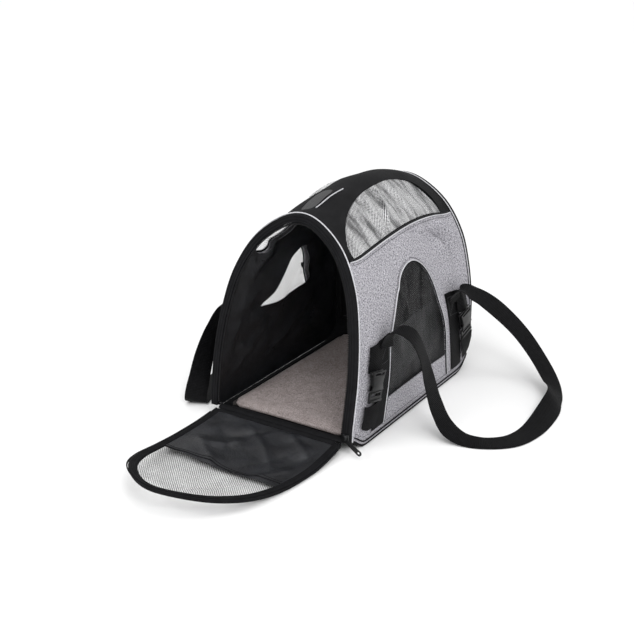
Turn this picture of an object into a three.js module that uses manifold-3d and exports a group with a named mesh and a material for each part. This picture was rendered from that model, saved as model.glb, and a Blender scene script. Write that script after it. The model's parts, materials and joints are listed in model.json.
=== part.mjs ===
// Soft-sided pet carrier bag, in millimetres, +Z up.
// The origin is the middle of the base underside. The mouth faces -Y and its zipped door lies open.
import * as THREE from 'three';
import { mergeVertices } from 'three/addons/utils/BufferGeometryUtils.js';
import Module from 'manifold-3d';

const wasm = await Module();
wasm.setup();

// Driving dimensions of the tunnel. Y is counted from the foot of the mouth while it is built.
const MOUTH_HALF = 135;
const MOUTH_HEIGHT = 350;
const TUNNEL_LENGTH = 404;
const MOUTH_TO_ORIGIN = 210;
const FLARE_FRONT = 5;
const FLARE_REAR = 3;
const ROOF_SWELL = 24;
const FOOT = 3;
const FRONT_LIFT = 16;
const FRONT_LIFT_LENGTH = 30;
const REAR_RADIUS = 45;
const REAR_LIFT = 0.8;
const REAR_LEAN = 0.02;

// Layers of the wall, as offsets from its outer face.
const FABRIC = 2;
const LINING_OUT = -3.6;
const LINING_IN = -5.2;
const MESH_OUT = -0.6;
const MESH_IN = -1.6;
const GAP = 0.4;
const CUT_DEPTH = 12;

// Places on the wall. U runs round the section from the right foot, 0, over the ridge, 0.5, to 1.
const SEAM_U = 0.3555;
const WINDOW_LOW_U = 0.3605;
const WINDOW_TOP_U = 0.459;
const WINDOW_MID_Y = 219;
const WINDOW_HALF = 147;
const VENT_MID_U = 0.5175;
const VENT_HALF_U = 0.0165;
const VENT_MID_Y = 134;
const VENT_HALF = 38;
const ARCH_MID_Y = 203;
const ARCH_HALF = 110;
const ARCH_TOP = 238;
const ARCH_LOW = 10;
const ARCH_FLARE = 9;
const ARCH_FLARE_HEIGHT = 60;
const POCKET_HEIGHT = 51;
const LINING_SILL = 150;

// Rings, zips and doors.
const RING_WIDTH = 13.2;
const RING_DEPTH = 8;
const REAR_RING_WIDTH = 15;
const REAR_RING_DEPTH = 14;
const ZIP_WIDTH = 3.6;
const DOOR_INSET = 13;
const DOOR_HINGE_Y = -10;
const DOOR_HINGE_Z = 16;
const DOOR_STRETCH = 0.985;
const DOOR_DIP = -0.22;
const DOOR_RISE = 0.000931;
const DOOR_THICK = 2.4;
const BINDING_WIDTH = 14;
const DOOR_SPLIT = 148;

// Webbing and clips.
const WEBBING = 38;
const WEBBING_THICK = 1.6;
const ANCHOR_TOP = 158;
const CLIP_TILT = 0.235;

const BLACK = { color: 0x1c1c1f, roughness: 0.85, metalness: 0 };
const SATIN = { color: 0x17171a, roughness: 0.5, metalness: 0 };
const GREY = { color: 0xaaa8b0, roughness: 0.95, metalness: 0 };
const LIGHT = { color: 0xc9c9cd, roughness: 0.6, metalness: 0 };
const DARK_NET = { color: 0x2a2a2c, roughness: 0.8, metalness: 0 };
const FELT = { color: 0x978c8a, roughness: 1, metalness: 0 };
const BOARD = { color: 0x4a4644, roughness: 0.9, metalness: 0 };
const PLASTIC = { color: 0x141416, roughness: 0.4, metalness: 0 };
const STEEL = { color: 0xb0b0b4, roughness: 0.3, metalness: 1 };

const bag = new THREE.Group();
bag.position.y = -MOUTH_TO_ORIGIN;

function add(name, geometry, look, place = null) {
  const mesh = new THREE.Mesh(geometry, new THREE.MeshStandardMaterial(look));
  mesh.name = name;
  if (place) place(mesh);
  bag.add(mesh);
  return mesh;
}

// ---------- closed solids from grids and rings ----------

function closedGeometry(points, triangles) {
  let volume = 0;
  for (const [a, b, c] of triangles) {
    volume += points[a].dot(new THREE.Vector3().crossVectors(points[b], points[c]));
  }
  const index = triangles.flatMap(([a, b, c]) => (volume > 0 ? [a, b, c] : [a, c, b]));
  const geometry = new THREE.BufferGeometry();
  geometry.setAttribute('position', new THREE.Float32BufferAttribute(points.flatMap((p) => p.toArray()), 3));
  geometry.setIndex(index);
  return geometry;
}

// A curved slab: at(s, t, k) gives the point at s and t, 0 to 1, on face k, 0 or 1.
function slab(ns, nt, at) {
  const points = [];
  const triangles = [];
  const id = (i, j, k) => (k * (nt + 1) + j) * (ns + 1) + i;
  for (let k = 0; k < 2; k += 1) {
    for (let j = 0; j <= nt; j += 1) {
      for (let i = 0; i <= ns; i += 1) points.push(at(i / ns, j / nt, k));
    }
  }
  const quad = (a, b, c, d) => triangles.push([a, b, c], [a, c, d]);
  for (let j = 0; j < nt; j += 1) {
    for (let i = 0; i < ns; i += 1) {
      quad(id(i, j, 1), id(i + 1, j, 1), id(i + 1, j + 1, 1), id(i, j + 1, 1));
      quad(id(i, j, 0), id(i, j + 1, 0), id(i + 1, j + 1, 0), id(i + 1, j, 0));
    }
  }
  for (let i = 0; i < ns; i += 1) {
    quad(id(i, 0, 0), id(i + 1, 0, 0), id(i + 1, 0, 1), id(i, 0, 1));
    quad(id(i, nt, 1), id(i + 1, nt, 1), id(i + 1, nt, 0), id(i, nt, 0));
  }
  for (let j = 0; j < nt; j += 1) {
    quad(id(0, j, 1), id(0, j + 1, 1), id(0, j + 1, 0), id(0, j, 0));
    quad(id(ns, j, 0), id(ns, j + 1, 0), id(ns, j + 1, 1), id(ns, j, 1));
  }
  return closedGeometry(points, triangles);
}

// A solid through a row of convex rings, each a list of points, with flat ends.
function loft(rings) {
  const points = rings.flat();
  const n = rings[0].length;
  const triangles = [];
  for (let r = 0; r + 1 < rings.length; r += 1) {
    for (let i = 0; i < n; i += 1) {
      const j = (i + 1) % n;
      triangles.push([r * n + i, r * n + j, (r + 1) * n + j], [r * n + i, (r + 1) * n + j, (r + 1) * n + i]);
    }
  }
  const last = (rings.length - 1) * n;
  for (let i = 1; i + 1 < n; i += 1) {
    triangles.push([0, i + 1, i], [last, last + i, last + i + 1]);
  }
  return closedGeometry(points, triangles);
}

function toManifold(geometry) {
  const bare = geometry.clone();
  bare.deleteAttribute('normal');
  bare.deleteAttribute('uv');
  const merged = mergeVertices(bare, 1e-4);
  return new wasm.Manifold(new wasm.Mesh({
    numProp: 3,
    vertProperties: new Float32Array(merged.attributes.position.array),
    triVerts: new Uint32Array(merged.index.array),
  }));
}

function fromManifold(solid) {
  const mesh = solid.getMesh();
  const geometry = new THREE.BufferGeometry();
  geometry.setAttribute('position', new THREE.Float32BufferAttribute(mesh.vertProperties, 3));
  geometry.setIndex([...mesh.triVerts]);
  return geometry;
}

function cut(geometry, ...tools) {
  return fromManifold(tools.reduce((solid, tool) => solid.subtract(toManifold(tool)), toManifold(geometry)));
}

function join(...geometries) {
  return fromManifold(geometries.map(toManifold).reduce((a, b) => a.add(b)));
}

function common(...geometries) {
  return fromManifold(geometries.map(toManifold).reduce((a, b) => a.intersect(b)));
}

function bar(width, depth, height, x, y, z) {
  return new THREE.BoxGeometry(width, depth, height).translate(x, y, z);
}

// ---------- the tunnel wall ----------

const halfSection = [[135, 0], [136, 60], [135.5, 105], [128, 178], [112, 246], [79, 305], [32, 342]];
const sectionPoints = [
  ...halfSection.map(([x, z]) => new THREE.Vector3(x, z, 0)),
  new THREE.Vector3(0, MOUTH_HEIGHT, 0),
  ...halfSection.toReversed().map(([x, z]) => new THREE.Vector3(-x, z, 0)),
];
const sectionCurve = new THREE.CatmullRomCurve3(sectionPoints, false, 'centripetal');
sectionCurve.arcLengthDivisions = 600;

const section = (u) => {
  const p = sectionCurve.getPointAt(THREE.MathUtils.clamp(u, 0, 1));
  return { x: p.x, z: p.y };
};
const mouthY = (z) => {
  const rise = Math.max(z - FOOT - FRONT_LIFT, 0);
  return 0.158 * rise + (0.046 * rise * rise) / 300;
};
const rearY = (z) => TUNNEL_LENGTH - REAR_LEAN * z;
const swell = (v) => {
  const t = THREE.MathUtils.clamp(v, 0, 1);
  return ROOF_SWELL * Math.sin(Math.PI * t ** 1.25) ** 0.9 + 2 * t;
};
const footHeight = (y) => {
  const front = FRONT_LIFT * (1 - THREE.MathUtils.smoothstep(y, 0, FRONT_LIFT_LENGTH));
  const back = Math.min(Math.max(y - (TUNNEL_LENGTH - REAR_RADIUS), 0), REAR_RADIUS);
  return FOOT + front + REAR_LIFT * (REAR_RADIUS - Math.sqrt(REAR_RADIUS ** 2 - back ** 2));
};

// The wall's outer face at section place u and distance y from the mouth's foot.
function face(u, y) {
  const { x, z } = section(u);
  const v = (y - mouthY(z)) / (rearY(z) - mouthY(z));
  const flare = FLARE_FRONT * THREE.MathUtils.smoothstep(v, 0, 0.1) + FLARE_REAR * v;
  const foot = footHeight(v * TUNNEL_LENGTH);
  const height = foot + (z * (MOUTH_HEIGHT + swell(v) - foot)) / MOUTH_HEIGHT;
  return new THREE.Vector3(x * (1 + flare / MOUTH_HALF), y, height);
}

function wall(u, y, offset) {
  const along = face(u, y + 1).sub(face(u, y - 1));
  const around = face(Math.min(u + 0.002, 1), y).sub(face(Math.max(u - 0.002, 0), y));
  const normal = along.cross(around).normalize();
  return face(u, y).addScaledVector(normal, offset);
}

// A point of a rim at the mouth or the rear: r outwards from the wall, a along +Y.
function rim(u, r, a, edgeY) {
  const y = edgeY(section(u).z);
  const around = face(Math.min(u + 0.002, 1), y).sub(face(Math.max(u - 0.002, 0), y));
  const outward = new THREE.Vector3(around.z, 0, -around.x).normalize();
  return face(u, y).addScaledVector(outward, r).add(new THREE.Vector3(0, a, 0));
}

function solve(low, high, rises) {
  let [a, b] = [low, high];
  for (let i = 0; i < 40; i += 1) {
    const mid = (a + b) / 2;
    if (rises(mid)) b = mid;
    else a = mid;
  }
  return (a + b) / 2;
}

const uAtHeight = (z) => solve(0, 0.5, (u) => section(u).z >= z);
const mix = THREE.MathUtils.lerp;
const onLeft = (side, u) => (side === 'left' ? 1 - u : u);
const frontEdge = (u, gap) => mouthY(section(u).z) + gap;
const rearEdge = (u, gap) => rearY(section(u).z) - gap;

// A patch of wall between two offsets: place(s, t) gives [u, y].
function patch(ns, nt, place, inner, outer) {
  return slab(ns, nt, (s, t, k) => {
    const [u, y] = place(s, t);
    return wall(u, y, k ? outer : inner);
  });
}

function panel(u0, u1, nu, ny, gap, inner, outer) {
  return patch(nu, ny, (s, t) => {
    const u = mix(u0, u1, s);
    return [u, mix(frontEdge(u, gap), rearEdge(u, gap), t)];
  }, inner, outer);
}

// Outlines of the windows, each as rows across the shape.
const archHalf = (z) => {
  const round = ARCH_HALF * Math.sqrt(Math.max(1 - (z / ARCH_TOP) ** 2, 0));
  return round + ARCH_FLARE * Math.max(0, 1 - z / ARCH_FLARE_HEIGHT) ** 2;
};
const archPlace = (side, low, high, inset) => (s, t) => {
  const z = mix(low, high, Math.sin((t * Math.PI) / 2));
  return [onLeft(side, uAtHeight(z)), ARCH_MID_Y + (2 * s - 1) * (archHalf(z) - inset)];
};
const windowPlace = (side, inset) => (s, t) => {
  const h = 0.999 * Math.sin((t * Math.PI) / 2);
  const front = WINDOW_MID_Y - (WINDOW_HALF - inset) * (1 - h ** 2.1) ** (1 / 2.1);
  const rear = WINDOW_MID_Y + (WINDOW_HALF - inset) * (1 - h ** 4) ** 0.25;
  const step = inset / 850;
  const u = mix(WINDOW_LOW_U + step, WINDOW_TOP_U - step, h);
  return [onLeft(side, u), mix(front, rear, s)];
};
const ventPlace = (inset) => (s, t) => {
  const h = 0.97 * (2 * t - 1);
  const half = (VENT_HALF - inset) * (1 - Math.abs(h) ** 3) ** (1 / 3);
  return [VENT_MID_U + (VENT_HALF_U - inset / 850) * h, VENT_MID_Y + (2 * s - 1) * half];
};

const archTopZ = ARCH_TOP - 0.3;
const sides = ['right', 'left'];

function archCutter(side, low, inset) {
  return patch(8, 10, archPlace(side, low, archTopZ, inset), -CUT_DEPTH, CUT_DEPTH);
}

function windowCutter(side, inset) {
  return patch(10, 7, windowPlace(side, inset), -CUT_DEPTH, CUT_DEPTH);
}

for (const side of sides) {
  const [u0, u1] = [onLeft(side, 0), onLeft(side, SEAM_U - 0.001)];
  const hole = archCutter(side, ARCH_LOW, 0);
  const inHole = archCutter(side, ARCH_LOW, GAP);
  const above = bar(400, 600, 400, 0, ARCH_MID_Y, 200 + POCKET_HEIGHT + GAP);
  const below = bar(400, 600, 400, 0, ARCH_MID_Y, POCKET_HEIGHT - 200);
  add(`${side}_side_panel`, cut(panel(u0, u1, 9, 10, 1, -FABRIC, 0), hole), GREY);
  add(`${side}_side_mesh`, common(panel(u0, u1, 9, 6, 40, MESH_IN, MESH_OUT), inHole, above), DARK_NET);
  add(`${side}_pocket_base`, common(panel(u0, u1, 9, 6, 40, -FABRIC, 0), inHole, below), GREY);
  add(`${side}_roof_window`, patch(10, 7, windowPlace(side, 1.1), MESH_IN, MESH_OUT), DARK_NET);
}

const ventCutter = patch(8, 6, ventPlace(0), -CUT_DEPTH, CUT_DEPTH);
const roofShell = panel(SEAM_U + 0.001, 0.999 - SEAM_U, 12, 9, 1, -FABRIC, 0);
add('roof_panel', cut(roofShell, windowCutter('right', 0), windowCutter('left', 0), ventCutter), BLACK);
add('ridge_vent_mesh', patch(8, 6, ventPlace(GAP), MESH_IN, MESH_OUT), DARK_NET);

const liningTools = sides.flatMap((side) => [archCutter(side, LINING_SILL, 0), windowCutter(side, 0)]);
add('cabin_lining',
  cut(panel(0.004, 0.996, 26, 7, 2, LINING_IN, LINING_OUT), ...liningTools, ventCutter), SATIN);

// ---------- base ----------

const baseRows = [1, 8, 15, 22, FRONT_LIFT_LENGTH, 195, 359, 369, 379, 389, 397, 403];

function basePlate(rows, halfWidth, low, high) {
  return slab(2, rows.length - 1, (s, t, k) => {
    const y = rows[Math.round(t * (rows.length - 1))];
    return new THREE.Vector3((2 * s - 1) * halfWidth(y), y, k ? high(y) : low(y));
  });
}

add('bottom_panel', basePlate(baseRows, (y) => face(0, y).x - 0.3, (y) => footHeight(y) - FOOT,
  (y) => footHeight(y) - GAP), GREY);
add('base_board', bar(250, 321, 2.4, 0, 194.5, 4.9), BOARD);

const PAD_FRONT = 12;
const PAD_REAR = 372;
const PAD_CORNER = 26;
const PAD_HALF = 121;
const padHalf = (y) => {
  const inFromEnd = Math.min(y - PAD_FRONT, PAD_REAR - y, PAD_CORNER);
  return PAD_HALF - PAD_CORNER + Math.sqrt(PAD_CORNER ** 2 - (PAD_CORNER - inFromEnd) ** 2);
};
const padRows = [12, 14, 18, 26, 38, 195, 346, 358, 366, 370, PAD_REAR];
add('base_pad', basePlate(padRows, padHalf, (y) => Math.max(6.5, footHeight(y) + 0.6), () => 20.5), FELT);

const lip = new THREE.Shape([[-8, 15], [-1, 15], [-1, 19.4], [11, 19.4], [11, 22], [-5, 22.4], [-8, 21]]
  .map(([y, z]) => new THREE.Vector2(y, z)));
const lipSolid = new THREE.ExtrudeGeometry(lip, { depth: 238, bevelEnabled: false });
const yzExtrusion = new THREE.Matrix4().makeBasis(
  new THREE.Vector3(0, 1, 0), new THREE.Vector3(0, 0, 1), new THREE.Vector3(1, 0, 0));
add('front_threshold', lipSolid.applyMatrix4(yzExtrusion).translate(-119, 0, 0), BLACK);

// ---------- rims: rings, piping and zips ----------

// A band that follows a rim; corners are [r, a] pairs of its convex section.
function rimBand(edgeY, corners, steps, u0 = 0, u1 = 1) {
  const rings = [];
  for (let i = 0; i <= steps; i += 1) {
    rings.push(corners.map(([r, a]) => rim(mix(u0, u1, i / steps), r, a, edgeY)));
  }
  return loft(rings);
}

function roundCorners(r, a, radius, count) {
  return Array.from({ length: count }, (_, i) => {
    const angle = (2 * Math.PI * i) / count;
    return [r + radius * Math.cos(angle), a + radius * Math.sin(angle)];
  });
}

const RIM_STEPS = 36;
add('front_ring', rimBand(mouthY, [[-0.6, -5.5], [-0.6, 0.4], [-RING_WIDTH, 0.4], [-RING_WIDTH, -RING_DEPTH],
  [-3, -RING_DEPTH]], RIM_STEPS), BLACK);
add('front_piping', rimBand(mouthY, roundCorners(1.5, -1, 1.5, 5), RIM_STEPS), LIGHT);
add('front_zip_body', rimBand(mouthY, [[-RING_WIDTH - 0.3, -6.5], [-RING_WIDTH - 0.3, -4],
  [-RING_WIDTH - ZIP_WIDTH, -4], [-RING_WIDTH - ZIP_WIDTH, -6.5]], RIM_STEPS, 0.008, 0.992), BLACK);
const rearArch = rimBand(rearY, [[-0.5, 0.6], [-0.5, 9], [-5, REAR_RING_DEPTH], [-REAR_RING_WIDTH,
  REAR_RING_DEPTH], [-REAR_RING_WIDTH, 0.6]], RIM_STEPS);
const rearSill = bar(264, 12, 7.4, 0, TUNNEL_LENGTH + 7, 40.9);
add('rear_ring', join(rearArch, rearSill), BLACK);
add('rear_piping', rimBand(rearY, roundCorners(1.5, 1, 1.5, 5), RIM_STEPS), LIGHT);
add('rear_zip_body', rimBand(rearY, [[-REAR_RING_WIDTH - 0.3, 10], [-REAR_RING_WIDTH - 0.3, 12.5],
  [-REAR_RING_WIDTH - ZIP_WIDTH, 12.5], [-REAR_RING_WIDTH - ZIP_WIDTH, 10]],
  RIM_STEPS, 0.008, 0.992), BLACK);

// A round cord laid on the wall along place(t), which gives [u, y].
function wallCord(steps, place, radius) {
  const rings = [];
  for (let i = 0; i <= steps; i += 1) {
    const [u, y] = place(i / steps);
    const [ub, yb] = place(Math.max(i - 0.5, 0) / steps);
    const [ua, ya] = place(Math.min(i + 0.5, steps) / steps);
    const centre = wall(u, y, radius + 0.4);
    const along = wall(ua, ya, 0).sub(wall(ub, yb, 0)).normalize();
    const out = wall(u, y, 1).sub(wall(u, y, 0)).normalize();
    const across = new THREE.Vector3().crossVectors(along, out).normalize();
    rings.push(roundCorners(0, 0, radius, 5).map(([a, b]) => centre.clone()
      .addScaledVector(across, a).addScaledVector(out, b)));
  }
  return loft(rings);
}

const SEAM_CORD = 1.5;
for (const side of sides) {
  add(`${side}_top_piping`, wallCord(12, (t) => {
    const u = onLeft(side, SEAM_U - 0.001);
    return [u, mix(frontEdge(u, 4), rearEdge(u, 4), t)];
  }, SEAM_CORD), LIGHT);
  add(`${side}_bottom_piping`, wallCord(20, (t) => {
    const u = onLeft(side, 0.008);
    return [u, mix(frontEdge(u, 5), rearEdge(u, 5), t)];
  }, 1.2), BLACK);
  add(`${side}_arch_piping`, wallCord(30, (t) => {
    const angle = Math.PI * t;
    const low = 14;
    const z = mix(low, archTopZ, Math.sin(angle) ** 0.75);
    return [onLeft(side, uAtHeight(z)), ARCH_MID_Y - Math.sign(Math.cos(angle)) * archHalf(z)];
  }, SEAM_CORD), LIGHT);
}
add('ridge_vent_piping', wallCord(6, (t) => [mix(0.4945, 0.489, t), mix(101, 176, t)], 1), LIGHT);

// ---------- front door, open ----------

const doorDrop = (s) => DOOR_HINGE_Z + DOOR_DIP * s + DOOR_RISE * s * s;
const doorReach = (s) => {
  const slope = DOOR_DIP + 2 * DOOR_RISE * s;
  return s - (slope ** 3 - DOOR_DIP ** 3) / (12 * DOOR_RISE);
};
const doorPoint = (x, s, lift) => new THREE.Vector3(x, DOOR_HINGE_Y - doorReach(s), doorDrop(s) + lift);

// The door's outline, w inwards from its edge, as [x, s] at section place u.
function doorOutline(u, w) {
  const p = section(u);
  const [a, b] = [section(Math.max(u - 0.002, 0)), section(Math.min(u + 0.002, 1))];
  const length = Math.hypot(b.x - a.x, b.z - a.z);
  const inwards = DOOR_INSET + w;
  const x = p.x - (inwards * (b.z - a.z)) / length;
  const z = p.z + (inwards * (b.x - a.x)) / length;
  return [x, (z - DOOR_HINGE_Z) * DOOR_STRETCH];
}
const doorU = (s, w) => solve(0, 0.5, (u) => doorOutline(u, w)[1] >= s);
const doorTop = (w) => doorOutline(0.5, w)[1];

function doorBand(w0, w1, startS, low, high) {
  const u0 = doorU(startS, w0);
  return slab(1, 34, (s, t, k) => {
    const [x, along] = doorOutline(mix(u0, 1 - u0, t), mix(w0, w1, s));
    return doorPoint(x, along, k ? high : low);
  });
}

function doorSheet(s0, s1, rows, w, low, high) {
  return slab(4, rows, (a, t, k) => {
    const s = mix(s0, s1, t);
    return doorPoint((2 * a - 1) * doorOutline(doorU(s, w), w)[0], s, k ? high : low);
  });
}

const sheetInset = BINDING_WIDTH + GAP;
add('door_binding', doorBand(0, BINDING_WIDTH, 3, -DOOR_THICK, DOOR_THICK), BLACK);
add('door_fabric', doorSheet(3, DOOR_SPLIT, 8, sheetInset, -1.6, 1.6), SATIN);
add('door_mesh', doorSheet(DOOR_SPLIT + GAP, doorTop(sheetInset) - 1.6, 9, sheetInset, -0.6, 0.6), DARK_NET);
add('front_zip_door', doorBand(-2.4, -0.4, 5, -1.2, 1.2), BLACK);

// ---------- rear door, closed ----------

const rearInset = REAR_RING_WIDTH + ZIP_WIDTH + 0.4;
function rearBand(r0, r1, low, high) {
  return rimBand(rearY, [[r0, low], [r0, high], [r1, high], [r1, low]], 30, 0.012, 0.988);
}
add('rear_door_binding', rearBand(-rearInset, -rearInset - BINDING_WIDTH, 9, 13), BLACK);
add('rear_door_panel', slab(4, 12, (s, t, k) => {
  const u = mix(0.012, 0.47, t);
  const edge = rim(u, -rearInset - BINDING_WIDTH - GAP, k ? 12.5 : 9.5, rearY);
  return new THREE.Vector3(edge.x * (2 * s - 1), edge.y, edge.z);
}), BLACK);

// ---------- zip sliders and pull tabs ----------

const sliderSection = new THREE.Shape([[0, 0], [9, 0], [9, 2.2], [6.4, 2.2], [5.6, 5.2],
  [3.4, 5.2], [2.6, 2.2], [0, 2.2]].map(([x, y]) => new THREE.Vector2(x, y)));
const tabOutline = new THREE.Shape();
tabOutline.moveTo(0, -3);
tabOutline.lineTo(29, -4.2);
tabOutline.absarc(29, 0, 4.2, -Math.PI / 2, Math.PI / 2, false);
tabOutline.lineTo(0, 3);
tabOutline.closePath();
const tabHole = new THREE.Path();
tabHole.absarc(28, 0, 2.2, 0, 2 * Math.PI, true);
tabOutline.holes.push(tabHole);

// The slider runs over the teeth with its bridge facing out.
function slider() {
  return new THREE.ExtrudeGeometry(sliderSection, { depth: 12, bevelEnabled: false });
}

function pullTab() {
  const plate = new THREE.ExtrudeGeometry(tabOutline, { depth: 1.8, bevelEnabled: false, curveSegments: 5 });
  return plate.translate(1.2, 0, 0);
}

const frontZip = rim(uAtHeight(4), -0.2, -RING_DEPTH - 2.2, mouthY);
add('front_zip_slider', slider().rotateX(Math.PI).translate(-9, 0, 12), STEEL, (piece) => {
  piece.position.copy(frontZip);
});
add('front_pull_tab', pullTab().rotateX(Math.PI / 2), PLASTIC, (tab) => {
  tab.rotation.y = THREE.MathUtils.degToRad(33);
  tab.position.set(frontZip.x - 3, frontZip.y - 5.6, frontZip.z + 6);
});

const rearZip = rim(uAtHeight(178), -8.8, REAR_RING_DEPTH + 0.6, rearY);
add('rear_zip_slider', slider().translate(-9, 0, 0), STEEL, (piece) => {
  piece.position.copy(rearZip);
});
add('rear_pull_tab', pullTab().rotateX(Math.PI / 2), PLASTIC, (tab) => {
  tab.rotation.y = THREE.MathUtils.degToRad(90);
  tab.position.set(rearZip.x - 4.5, rearZip.y + 7.6, rearZip.z + 4);
});

// ---------- webbing anchors, clip straps and clips ----------

// A strap sewn on a side panel: centre(z) gives its middle's y at height z.
function sideStrap(side, z0, z1, centre, inner, outer, width) {
  return patch(2, 5, (s, t) => {
    const z = mix(z0, z1, t);
    return [onLeft(side, uAtHeight(z)), centre(z) + (s - 0.5) * width];
  }, inner, outer);
}

const femaleOutline = [[-19, 0], [-15, 10], [-18, 22], [-21, 31], [21, 31], [18, 22], [15, 10], [19, 0]];
const maleOutline = [[-20, -19], [20, -19], [20, -1], [12, -1], [10.6, 12], [7.4, 15], [6.4, 0], [1.8, 0],
  [1.8, 13], [-1.8, 13], [-1.8, 0], [-6.4, 0], [-7.4, 15], [-10.6, 12], [-12, -1], [-20, -1]];
const flat = (points) => new THREE.Shape(points.map(([x, y]) => new THREE.Vector2(x, y)));

// Clip halves stand in the YZ plane: drawn across Y and up Z, with their thickness along X.
function standing(points, x0, thickness) {
  const plate = new THREE.ExtrudeGeometry(flat(points), { depth: thickness, bevelEnabled: false });
  return plate.applyMatrix4(yzExtrusion).translate(x0, 0, 0);
}

function clipFemale() {
  return cut(standing(femaleOutline, 0, 7.6), bar(4.2, 24, 17.5, 3.8, 0, 8.2));
}

function clipMale() {
  return cut(standing(maleOutline, 2.4, 2.8), bar(6, 30, 4, 3.8, 0, -7));
}

const corners = [
  { end: 'front', bottom: 66, top: 92, clipTop: 67, clipTilt: CLIP_TILT },
  { end: 'rear', bottom: 356, top: 331, clipTop: 356, clipTilt: -CLIP_TILT },
];
const CLIP_Z = 88;
const CLIP_WEBBING = 36;
const STRAP_OFFSET = 3;
for (const side of sides) {
  for (const corner of corners) {
    const name = `${side}_${corner.end}`;
    const anchorY = (z) => mix(corner.bottom, corner.top, (z - 9) / (ANCHOR_TOP - 9));
    const clipY = (z) => corner.clipTop - corner.clipTilt * (166 - z);
    add(`${name}_anchor`, sideStrap(side, 16, ANCHOR_TOP, anchorY, 0.6, 0.6 + WEBBING_THICK,
      WEBBING), BLACK);
    add(`${name}_clip_strap`, sideStrap(side, CLIP_Z + 32, 158, clipY, STRAP_OFFSET,
      STRAP_OFFSET + WEBBING_THICK, CLIP_WEBBING), BLACK);
    add(`${name}_clip_tail`, sideStrap(side, 26, CLIP_Z - 28, clipY, STRAP_OFFSET + 2,
      STRAP_OFFSET + 2 + WEBBING_THICK, CLIP_WEBBING), BLACK);
    const place = (piece) => {
      const spot = wall(onLeft(side, uAtHeight(CLIP_Z)), clipY(CLIP_Z), STRAP_OFFSET);
      piece.position.copy(spot);
      if (side === 'left') piece.rotation.z = Math.PI;
      piece.rotation.x = (side === 'left' ? 1 : -1) * Math.atan(corner.clipTilt);
      piece.rotation.order = 'ZXY';
    };
    add(`${name}_clip_female`, clipFemale(), PLASTIC, place);
    add(`${name}_clip_male`, clipMale(), PLASTIC, place);
  }
}

// ---------- handles, lying on the floor ----------

// Each stop is the middle of the webbing and the direction of its width.
const FLOOR_Z = 1.4;
const rightStops = [
  [150, 93, 174, 0, 1, 0], [163, 97, 180, -0.1, 1, 0], [182, 103, 172, -0.2, 0.95, 0.1],
  [196, 110, 142, -0.3, 0.9, 0.2], [207, 115, 100, -0.35, 0.85, 0.3], [220, 118, 56, -0.3, 0.8, 0.45],
  [240, 121, 20, -0.3, 0.85, 0.35], [266, 127, 4.2, -0.3, 0.92, 0.1], [298, 138, FLOOR_Z, -0.62, 0.78, 0],
  [330, 166, FLOOR_Z, -0.86, 0.5, 0], [344, 212, FLOOR_Z, -0.99, 0.1, 0], [346, 270, FLOOR_Z, -1, 0, 0],
  [342, 326, FLOOR_Z + 0.6, -0.98, -0.18, 0], [324, 366, 14, -0.85, -0.45, -0.1],
  [290, 392, 48, -0.68, -0.6, -0.42], [248, 394, 94, -0.6, -0.68, -0.4], [206, 378, 136, -0.45, -0.85, -0.2],
  [176, 356, 162, -0.15, -0.98, 0], [156, 337, 173, 0, -1, 0],
];
const leftStops = [
  [-152, 88, 171, 0, 1, 0], [-163, 74, 160, 0, 1, 0], [-170, 54, 132, 0.1, 0.97, 0.1],
  [-174, 32, 92, 0.3, 0.92, 0.1], [-175, 14, 50, 0.5, 0.85, 0.05], [-176, 3, 18, 0.75, 0.65, 0],
  [-180, 10, 4.5, 0.93, 0.35, 0], [-194, 50, FLOOR_Z, 0.97, 0.22, 0], [-212, 112, FLOOR_Z, 0.98, 0.2, 0],
  [-228, 190, FLOOR_Z, 1, 0, 0], [-232, 250, FLOOR_Z, 1, 0, 0], [-230, 306, FLOOR_Z + 0.6, 0.99, -0.1, 0],
  [-216, 352, 16, 0.9, -0.4, -0.1], [-197, 378, 52, 0.7, -0.68, -0.2], [-179, 381, 100, 0.45, -0.85, -0.2],
  [-168, 362, 146, 0.15, -0.97, -0.1], [-158, 338, 170, 0, -1, 0],
];

function handle(side, stops, steps) {
  const sewn = (z, y, offset) => wall(onLeft(side, uAtHeight(z)), y, offset);
  const middle = new THREE.CatmullRomCurve3([
    sewn(142, 90, 6.4), sewn(152, 92, 6.6), ...stops.map(([x, y, z]) => new THREE.Vector3(x, y, z)),
    sewn(152, 332, 7.4), sewn(142, 334, 6.6),
  ], false, 'centripetal');
  const sewnWidths = [new THREE.Vector3(0, 1, 0), new THREE.Vector3(0, 1, 0)];
  const lastWidths = [new THREE.Vector3(0, -1, 0), new THREE.Vector3(0, -1, 0)];
  const widths = new THREE.CatmullRomCurve3([
    ...sewnWidths, ...stops.map(([, , , x, y, z]) => new THREE.Vector3(x, y, z)), ...lastWidths,
  ], false, 'catmullrom');
  const rings = [];
  for (let i = 0; i <= steps; i += 1) {
    const t = i / steps;
    const centre = middle.getPoint(t);
    const along = middle.getTangent(t);
    const wide = widths.getPoint(t);
    wide.addScaledVector(along, -wide.dot(along)).normalize();
    const thick = new THREE.Vector3().crossVectors(along, wide).normalize();
    rings.push([[-1, -1], [1, -1], [1, 1], [-1, 1]].map(([a, b]) => centre.clone()
      .addScaledVector(wide, (a * WEBBING) / 2).addScaledVector(thick, (b * WEBBING_THICK) / 2)));
  }
  return loft(rings);
}

add('right_handle', handle('right', rightStops, 56), BLACK);
add('left_handle', handle('left', leftStops, 52), BLACK);

export default bag;
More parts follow.
